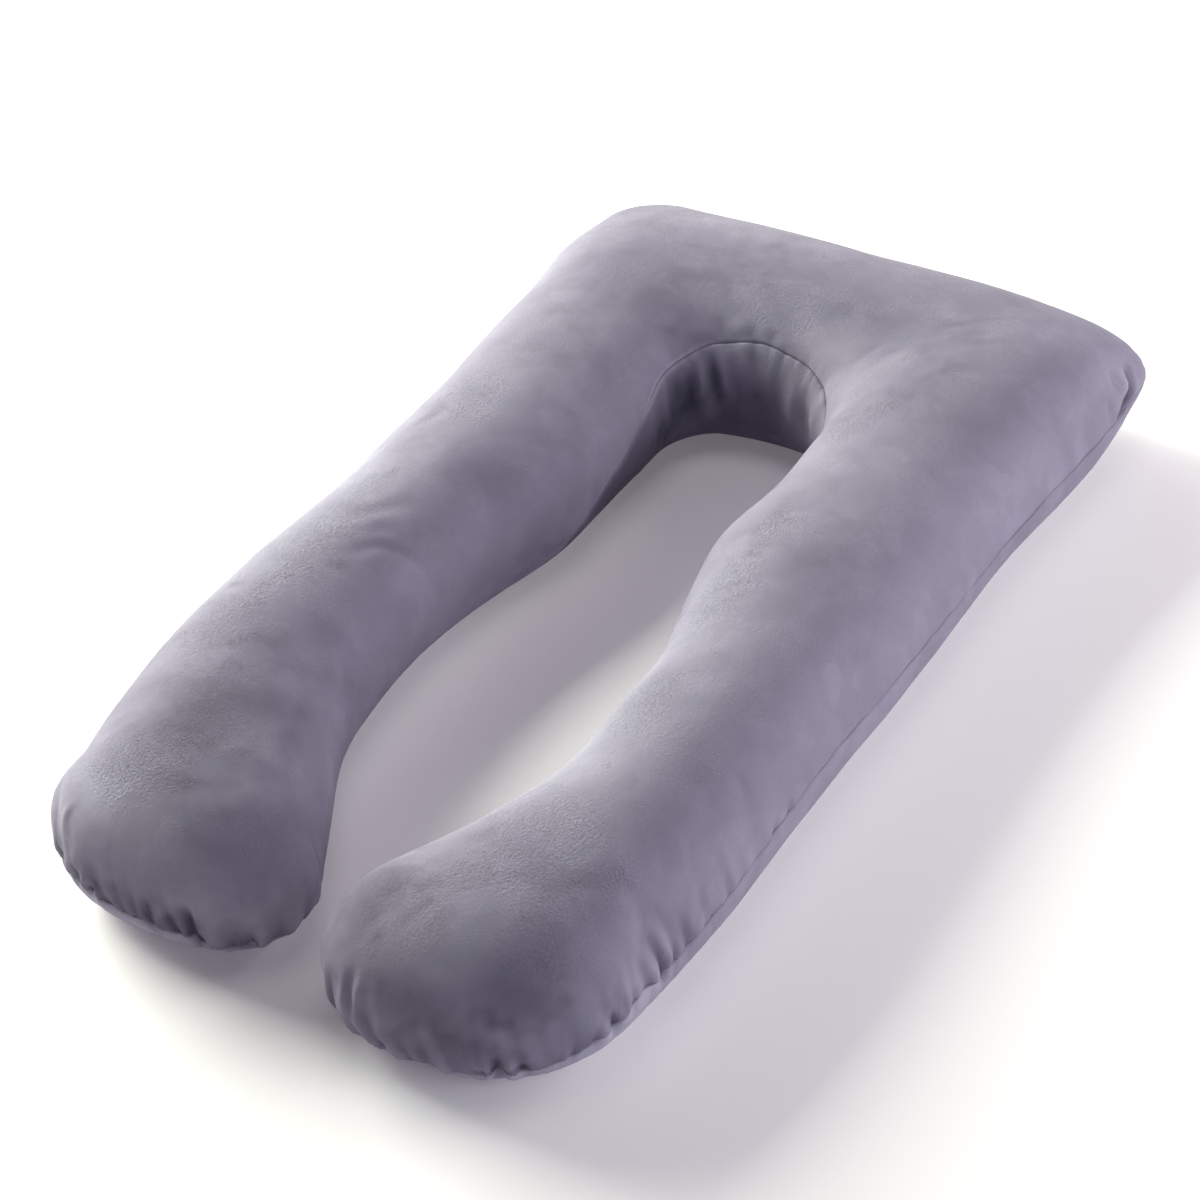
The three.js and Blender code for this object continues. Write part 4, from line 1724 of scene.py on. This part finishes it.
    creases: tuple[Crease, ...] = (
        Crease(LEFT, ((97, 30), (118, 60), (165, 73), (215, 76)), 9, 2.5, 0.3),
        Crease(LEFT, ((88, 50), (97, 72), (102, 90)), 4, -1.2),
        Crease(LEFT, ((80, 22), (74, 34), (68, 52)), 5, -1.8),
        Crease(LEFT, ((70, 2), (62, 14), (56, 26)), 5, -1.6),
        Crease(LEFT, ((110, -6), (100, 22), (94, 46)), 6, 3.5, 0.35),
        Crease(LEFT, ((84, -8), (78, 10), (72, 28)), 5, 3, 0.35),
        Crease(LEFT, ((62, -8), (54, 8), (48, 20), (43, 34)), 5, 5, 0.3, 0.2),
        Crease(LEFT, ((-9, -8), (-11, 3), (-15, 26), (-16, 44)), 4, 4.5, 0.25, -0.3),
        Crease(LEFT, ((-43, 28), (-45, 44), (-51, 62)), 6, -2),
        Crease(LEFT, ((-62, -8), (-61, 8), (-60, 28), (-58, 52)), 6, 6, 0.3, -0.4),
        Crease(LEFT, ((-70, -4), (-70, 8), (-69, 24)), 4, 2.5),
        Crease(LEFT, ((-103, -6), (-103, 14), (-101, 40)), 6, 4, 0.3),
        Crease(LEFT, ((-125, -14), (-121, 6), (-119, 25), (-123, 42)), 6, 6, 0.4, 0.2),
        Crease(LEFT, ((-147, -2), (-149, 28), (-148, 66)), 7, 3.2, 0.5),
        Crease(LEFT, ((-186, -6), (-183, 30), (-179, 70)), 10, 4, 0.4),
        Crease(LEFT, ((-207, 62), (-205, 86), (-203, 104)), 3.5, -1.4),
        Crease(LEFT, ((-211, 58), (-209, 74), (-207, 90)), 3.5, 1.6),
        Crease(RIGHT, ((-128, 4), (-112, 34), (-98, 66)), 8, 3.2, 0.3),
        Crease(RIGHT, ((-104, -4), (-97, 34), (-88, 74)), 7, 3.2, 0.3),
        Crease(RIGHT, ((-82, -6), (-78, 30), (-72, 62), (-69, 86)), 6, 3.8, 0.5, 0.2),
        Crease(RIGHT, ((-51, 32), (-53, 47), (-48, 76)), 4, -1.8),
        Crease(RIGHT, ((-46, -8), (-45, 10), (-45, 34)), 5, 4.5, 0.5),
        Crease(RIGHT, ((-42, 52), (-43, 74), (-43, 98)), 5, 2.4),
        Crease(RIGHT, ((-39, 12), (-36, 32), (-36, 58), (-36, 80), (-36, 104)), 4, -2.2),
        Crease(RIGHT, ((-27, 4), (-27, 36), (-28, 72)), 7, 3.5, 0.35),
        Crease(RIGHT, ((-14, -6), (-13, 12), (-12, 34)), 5, 4, 0.3),
        Crease(RIGHT, ((-10, 4), (-5, 18), (-4, 40)), 4, -2),
        Crease(RIGHT, ((33, -8), (32, 12), (32, 50)), 6, 4, 0.4),
        Crease(RIGHT, ((100, -30), (100, -4), (99, 12), (96, 36)), 5, 6.5, 0.5),
        Crease(RIGHT, ((103, 1), (86, 8), (64, 13)), 4, 3, 0.15),
        Crease(RIGHT, ((97, 1), (115, 9), (136, 15)), 4, 3, 0.15),
        Crease(RIGHT, ((166, -10), (168, 0), (170, 24)), 4, 1.6, 0.4),
        Crease(RIGHT, ((192, -8), (193, 5), (190, 30)), 4, 1.8, 0.4),
        Crease(RIGHT, ((217, -12), (216, -4), (208, 18), (199, 41)), 4, 2.8, 0.3, 0.2),
        Crease(RIGHT, ((210, 22), (208, 36), (205, 54)), 4, -2),
        Crease(RIGHT, ((229, 4), (225, 18), (217, 42)), 4, 2.6, 0.3),
        Crease(RIGHT, ((232, 18), (228, 36), (228, 60)), 5, -1.8),
        Crease(RIGHT, ((291, -8), (288, 12), (276, 44), (271, 72)), 6, 5, 0.3, -0.3),
        Crease(RIGHT, ((304, -4), (303, 16), (300, 34)), 5, 2.5),
        Crease(RIGHT, ((334, -8), (331, 4), (321, 28), (317, 54)), 6, 3.8, 0.35, -0.2),
        Crease(RIGHT, ((361, -4), (356, 16), (351, 38), (354, 54)), 5, 2.2, 0.3),
        Crease(RIGHT, ((398, -4), (392, 18), (384, 60)), 7, 1.5, 0.3),
        Crease(RIGHT, ((490, -6), (489, 4), (486, 20)), 5, 2, 0.4),
        Crease(RIGHT, ((523, -6), (521, 4), (517, 22)), 5, 2.2, 0.4),
        Crease(RIGHT, ((1318, 60), (1302, 47), (1294, 34)), 4, 2.5),
        Crease(RIGHT, ((1350, 52), (1341, 34), (1326, 18), (1300, 6), (1280, -2)), 5, 8, 0.5, 0.3),
        Crease(RIGHT, ((1332, 52), (1319, 35), (1302, 21)), 5, -3),
        Crease(RIGHT, ((1272, 44), (1268, 22), (1272, 2)), 6, 3),
        Crease(BEND, ((-49, 3), (-50, 18), (-51, 34)), 7, 1.2),
        Crease(BEND, ((-27, 2), (-25, 9), (-21, 17)), 6, 1.0),
        Crease(BEND, ((-8, 2), (-6, 12), (-3, 22)), 5, 1.1),
        Crease(BEND, ((-88, -10), (-90, -50), (-86, -90)), 9, 2.8),
        Crease(BEND, ((-72, -8), (-76, -28), (-77, -62)), 6, -2.5),
        Crease(BEND, ((-62, -8), (-61, -44), (-57, -64), (-44, -86)), 6, 4, 0.5, 0.2),
        Crease(BEND, ((-49, -8), (-51, -32), (-48, -62)), 6, -2.2),
        Crease(BEND, ((24, -20), (30, -46), (39, -80)), 8, -2),
        Crease(BEND, ((44, -16), (50, -40), (56, -70)), 8, 2.5),
        Crease(BEND, ((-325, 2), (-352, 24), (-368, 31), (-385, 44), (-396, 44)), 4, 3, 0.4),
        Crease(BEND, ((-394, 32), (-407, 25), (-423, 25), (-440, 31)), 4, 2),
        Crease(PLAN, ((-273, 44), (-265, 62), (-254, 84)), 6, 1.4),
        Crease(
            PLAN, ((-210, -195), (-204, -181), (-199, -166), (-189, -152), (-174, -142), (-165, -132)), 5, 1.7
        ),
        Crease(PLAN, ((-184, -143), (-169, -127), (-163, -118)), 4, -1.1),
        Crease(PLAN, ((-176, -154), (-162, -142), (-154, -130)), 5, -0.9),
        Crease(PLAN, ((-251, -132), (-232, -127), (-219, -112), (-206, -92), (-192, -67)), 7, 1.5),
        Crease(PLAN, ((-216, -156), (-209, -147), (-198, -127), (-188, -110)), 6, 1.0),
        Crease(PLAN, ((-213, -222), (-203, -212), (-190, -207)), 6, 1.4),
        Crease(PLAN, ((-248, 160), (-261, 57), (-232, -60), (-186, -176)), 22, 1.6),
        Crease(PLAN, ((150, 330), (178, 322), (204, 318)), 8, 1.0),
    )

    def folds(self, chart: Chart, puckers: np.ndarray) -> np.ndarray:
        """How far the gathers, creases and wrinkles draw the cover in.

        Args:
            chart: The chart of the form.
            puckers: Depths of the puckers by column and row.

        Returns:
            Depths by column and row.
        """
        depth = puckers.copy()
        strewn = [crease for stretch in self.wrinkles for crease in stretch.creases()]
        for crease in (*self.creases, *strewn):
            depth += crease.drawn_in(chart.places(crease.origin)).reshape(depth.shape)
        return depth

    def drawn_in(self, chart: Chart, folds: np.ndarray) -> np.ndarray:
        """How far the seam, the folds and the lumps of the filling draw the cover in.

        Args:
            chart: The chart of the form.
            folds: Depths of the folds by column and row.

        Returns:
            Depths by column and row.
        """
        over = chart.over
        depth = self.furrow_depth * np.exp(-((over / self.furrow_width) ** 2))
        depth += self.groove_depth * np.exp(-np.abs(over / self.groove_width) ** self.groove_power)
        near = np.exp(-((over / self.ledge_width) ** 2))
        for ledge in self.ledges:
            depth += np.where(over < 0, ledge.drop, 0) * chart.outline.window(ledge)[:, None] * near
        depth += folds
        flat = chart.points.reshape(-1, 3)
        calm = 1 - np.exp(-((over / self.lump_gap) ** 2))
        for number, (length, height) in enumerate(self.lumps):
            depth += height * calm * waves(flat, length, self.lump_seed + number).reshape(over.shape)
        return depth

    def gathered(self, outline: Outline) -> tuple[np.ndarray, np.ndarray]:
        """How hard the cover is gathered above and below the seam.

        Args:
            outline: Lengths round the edge.

        Returns:
            Two strengths for each column.
        """
        above = np.zeros(len(outline.along))
        below = above.copy()
        for stretch in self.gathers:
            window = outline.window(stretch)
            above += stretch.above * window
            below += stretch.below * window
        return above, below

    def puckers(self, chart: Chart) -> np.ndarray:
        """Small uneven puckers that run off the seam: sharp valleys, wider and shallower further off.

        Args:
            chart: The chart of the form.

        Returns:
            Depths by column and row.
        """
        outline, over = chart.outline, chart.over
        draw = np.random.default_rng(self.pucker_seed)
        turn = outline.turn()
        above, below = self.gathered(outline)
        strength = self.plain_puckers + np.where(over >= 0, above[:, None], below[:, None])
        depth = np.zeros_like(over)
        for length in self.pucker_lengths:
            count = round(outline.whole / length)
            swing = sum(
                draw.uniform(*self.swing_heights)
                * np.sin(draw.integers(*self.swing_turns) * turn + draw.uniform(0, self.swing_phase))
                for _ in range(self.pucker_swings)
            )
            phase = count * turn / 2 + self.pucker_swing * swing
            slant = draw.uniform(-self.pucker_slant, self.pucker_slant) * math.pi / length
            wave = 1 - np.abs(np.cos(phase[:, None] + slant * over))
            fade = np.exp(-np.abs(over) / (self.pucker_reach * length))
            depth += self.pucker_rise * length * (wave - self.pucker_mean) * fade
        return strength * depth

    def spots(self, chart: Chart, spots: tuple[PaintedLightAndGrainSpot, ...]) -> np.ndarray:
        """Sum of spots with uneven edges.

        Args:
            chart: The chart of the form.
            spots: The spots.

        Returns:
            Values by column and row.
        """
        total = np.zeros(chart.over.size)
        flat = chart.points.reshape(-1, 3)
        wide, fine = (
            height * waves(flat, length, self.spot_seed + number)
            for number, (length, height) in enumerate(self.spot_swings)
        )
        for spot in spots:
            away = np.linalg.norm((chart.places(spot.origin) - spot.at) / spot.reach, axis=1)
            away *= 1 + wide + spot.edge * fine
            total += spot.amount * np.exp(-(away**spot.edge))
        return total.reshape(chart.over.shape)

    def lean(self, chart: Chart, puckers: np.ndarray, folds: np.ndarray) -> np.ndarray:
        """Painted light and shade on the cover: painted shade along the seam, in the folds and puckers, just
        above the gathers and down in the bend, and painted light and shade on the bottom panel and in spots.

        Args:
            chart: The chart of the form.
            puckers: Depths of the puckers by column and row.
            folds: Depths of the folds by column and row.

        Returns:
            Values by column and row: above 0 where the cover is painted lighter, below 0 where it is painted
                darker.
        """
        outline, over = chart.outline, chart.over
        # Painted shade along the seam
        length, height = self.seam_shade_swing
        swing = self.seam_shade_mean + height * waves(outline.ring(), length, self.seam_shade_seed)
        strength = self.seam_shade * np.clip(swing, self.seam_shade_least, 1)
        leaning = -strength[:, None] * np.exp(-((over / self.seam_shade_width) ** 2))
        # Painted light and shade on the bottom panel and in spots
        for lean in self.leans:
            leaning += lean.amount * outline.window(lean)[:, None] * np.clip(-over / lean.depth, 0, 1)
        leaning += self.spots(chart, self.painted_light_spots)
        # Painted shade just above the gathers, in the folds and in the puckers, with painted light on the
        # puckers' ridges
        above = self.gathered(outline)[0][:, None] * (over >= 0)
        leaning -= self.gather_shade * above * np.exp(-np.abs(over) / self.gather_width)
        leaning -= self.fold_shade * folds
        leaning -= self.pucker_shade * np.clip(puckers, *self.pucker_span) * (over >= 0)
        return np.clip(leaning, *self.lean_span)

    def blown_up(self, chart: Chart, points: np.ndarray, faces: Faces) -> np.ndarray:
        """Points of the form after the filling has pressed against it, with its resting face kept flat.

        Args:
            chart: The chart of the form.
            points: Vertices of the form.
            faces: Its faces.

        Returns:
            New places of the vertices.
        """
        gathered = np.zeros(len(chart.points))
        for stretch in self.gathers:
            strongest = max(stretch.above, stretch.below)
            gathered = np.maximum(gathered, strongest * chart.outline.window(stretch))
        seam = chart.points[:, chart.seam_row] * MM
        moved = self.filling.settled(points * MM, faces, seam, gathered) / MM - points
        outwards = vertex_normals(points, faces)
        usual = np.median((moved * outwards).sum(axis=1)[chart.index()], axis=0)
        moved -= outwards * chart.vertices(np.tile(usual[:, None], (len(chart.points), 1, 1)))
        x, y, reach = self.calm_corner
        share = 1 - np.exp(-((np.hypot(points[:, 0] - x, points[:, 1] - y) / reach) ** 4))
        share *= np.clip((points[:, 2] - self.calm_rest) / self.calm_fade, 0, 1)
        return points + moved * share[:, None]

    def build(self) -> bpy.types.Object:
        """Makes the cover and sets it where its solid is.

        Returns:
            The cover.
        """
        chart = self.form.chart()
        faces = chart.faces()
        points = chart.vertices(chart.points)
        points = self.blown_up(chart, points, faces)
        puckers = self.puckers(chart)
        folds = self.folds(chart, puckers)
        depth = chart.vertices(self.drawn_in(chart, folds)[..., None])
        outwards = vertex_normals(points, faces)
        points = points - outwards * depth
        points[:, 2] = np.clip(points[:, 2], 0, None)
        low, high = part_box("pillow")
        middle = (points.min(axis=0) + points.max(axis=0)) / 2
        points = points * MM
        points[:, 0] += (low.x + high.x) / 2 - middle[0] * MM
        points[:, 1] += (low.y + high.y) / 2 - middle[1] * MM
        cover = link_mesh("pillow_cover", points, faces)
        # Painted light and shade, and how rough the pile stands, written as attributes for the plush
        pile = {"lean": self.lean(chart, puckers, folds), "rough": self.spots(chart, self.roughed)}
        for name, values in pile.items():
            written = cover.data.attributes.new(name, "FLOAT", "POINT")
            written.data.foreach_set("value", chart.vertices(values[..., None]).ravel())
        cover.data.materials.append(self.finish.material())
        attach(cover, "root")
        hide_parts("pillow")
        LOG.info("%s: %d vertices, %d faces", cover.name, len(points), len(faces))
        seam = chart.index()[:, chart.seam_row]
        self.thread.build(points[seam] + outwards[seam] * self.thread_lift * MM)
        return cover


# Studio


@dataclass(frozen=True)
class SoftBox:
    """A large square soft lamp: where it stands, its size in metres, power, colour and what it points at."""

    name: str
    place: tuple[float, float, float]
    size: float
    power: float
    colour: str
    aim: tuple[float, float, float] = (0.0, 0.0, 0.1)

    def build(self) -> bpy.types.Object:
        """Makes the lamp and turns it to its aim.

        Returns:
            The lamp.
        """
        lamp = bpy.data.lights.new(self.name, "AREA")
        lamp.shape = "SQUARE"
        lamp.size = self.size
        lamp.energy = self.power
        lamp.color = linear(self.colour)[:3]
        made = bpy.data.objects.new(self.name, lamp)
        made.location = self.place
        made.rotation_euler = (Vector(self.aim) - Vector(self.place)).to_track_quat("-Z", "Y").to_euler()
        bpy.context.scene.collection.objects.link(made)
        return made


@dataclass
class Studio:
    """Pale paper floor, soft lamps and a camera at the viewing angle of a shot from the front right."""

    floor_size: float = 80.0
    floor_drop: float = 0.0003
    paper: StudioPaper = field(default_factory=StudioPaper)
    lamps: tuple[SoftBox, ...] = (
        SoftBox("key_left", (-3.45, 0.57, 1.58), 2.6, 462.0, "#f9ffe9"),
        SoftBox("back_left", (-2.15, 2.15, 1.09), 1.8, 47.0, "#f7ffe7"),
        SoftBox("back_right", (2.15, 2.15, 1.09), 1.8, 61.0, "#fffaf0"),
        SoftBox("fill_right", (3.04, 0.0, 1.09), 1.8, 50.0, "#f9ffff"),
        SoftBox("top", (0.0, 0.0, 3.3), 1.8, 15.0, "#fff7fa"),
    )
    sky: str = "#d9c5ff"
    sky_strength: float = 0.05
    lens: float = 81.48
    sensor: float = 36.0
    azimuth: float = 30.16
    elevation: float = 37.64
    roll: float = -1.35
    distance: float = 2.82322
    target: tuple[float, float, float] = (0.002, -0.04025, 0.08)

    def floor(self) -> bpy.types.Object:
        """Makes the paper floor just under the pillow.

        Returns:
            The floor.
        """
        half = self.floor_size / 2
        corners = np.array([(-half, -half), (half, -half), (half, half), (-half, half)])
        points = np.column_stack([corners, np.full(4, -self.floor_drop)])
        made = link_mesh("floor", points, [(0, 1, 2, 3)])
        made.data.materials.append(self.paper.material())
        return made

    def world(self) -> None:
        """Sets an even pale surround."""
        made = bpy.data.worlds.new("studio")
        bpy.context.scene.world = made
        made.use_nodes = True
        made.node_tree.nodes.clear()
        sky = add_node(
            made.node_tree,
            "ShaderNodeBackground",
            {"Color": linear(self.sky), "Strength": self.sky_strength},
        )
        add_node(made.node_tree, "ShaderNodeOutputWorld", {"Surface": sky.outputs[0]})

    def camera(self) -> bpy.types.Object:
        """Makes the camera and sets it as the scene's.

        Returns:
            The camera.
        """
        turn, lift = math.radians(self.azimuth), math.radians(self.elevation)
        back = Vector((math.sin(turn) * math.cos(lift), -math.cos(turn) * math.cos(lift), math.sin(lift)))
        lens = bpy.data.cameras.new("camera")
        lens.lens = self.lens
        lens.sensor_width = self.sensor
        made = bpy.data.objects.new("camera", lens)
        level = (-back).to_track_quat("-Z", "Y").to_matrix().to_4x4()
        roll = Matrix.Rotation(math.radians(self.roll), 4, "Z")
        made.matrix_world = Matrix.Translation(Vector(self.target) + back * self.distance) @ level @ roll
        bpy.context.scene.collection.objects.link(made)
        bpy.context.scene.camera = made
        return made

    def build(self) -> None:
        """Makes the camera, floor, surround and lamps."""
        bpy.context.scene.view_settings.view_transform = "Standard"
        self.camera()
        self.floor()
        self.world()
        for lamp in self.lamps:
            lamp.build()
        LOG.info("studio: floor, camera and %d lamps", len(self.lamps))


def main() -> None:
    """Builds the studio and the pillow."""
    logging.basicConfig(level=logging.INFO, format="%(name)s: %(message)s")
    Studio().build()
    PillowCover().build()


if __name__ == "__main__":
    main()
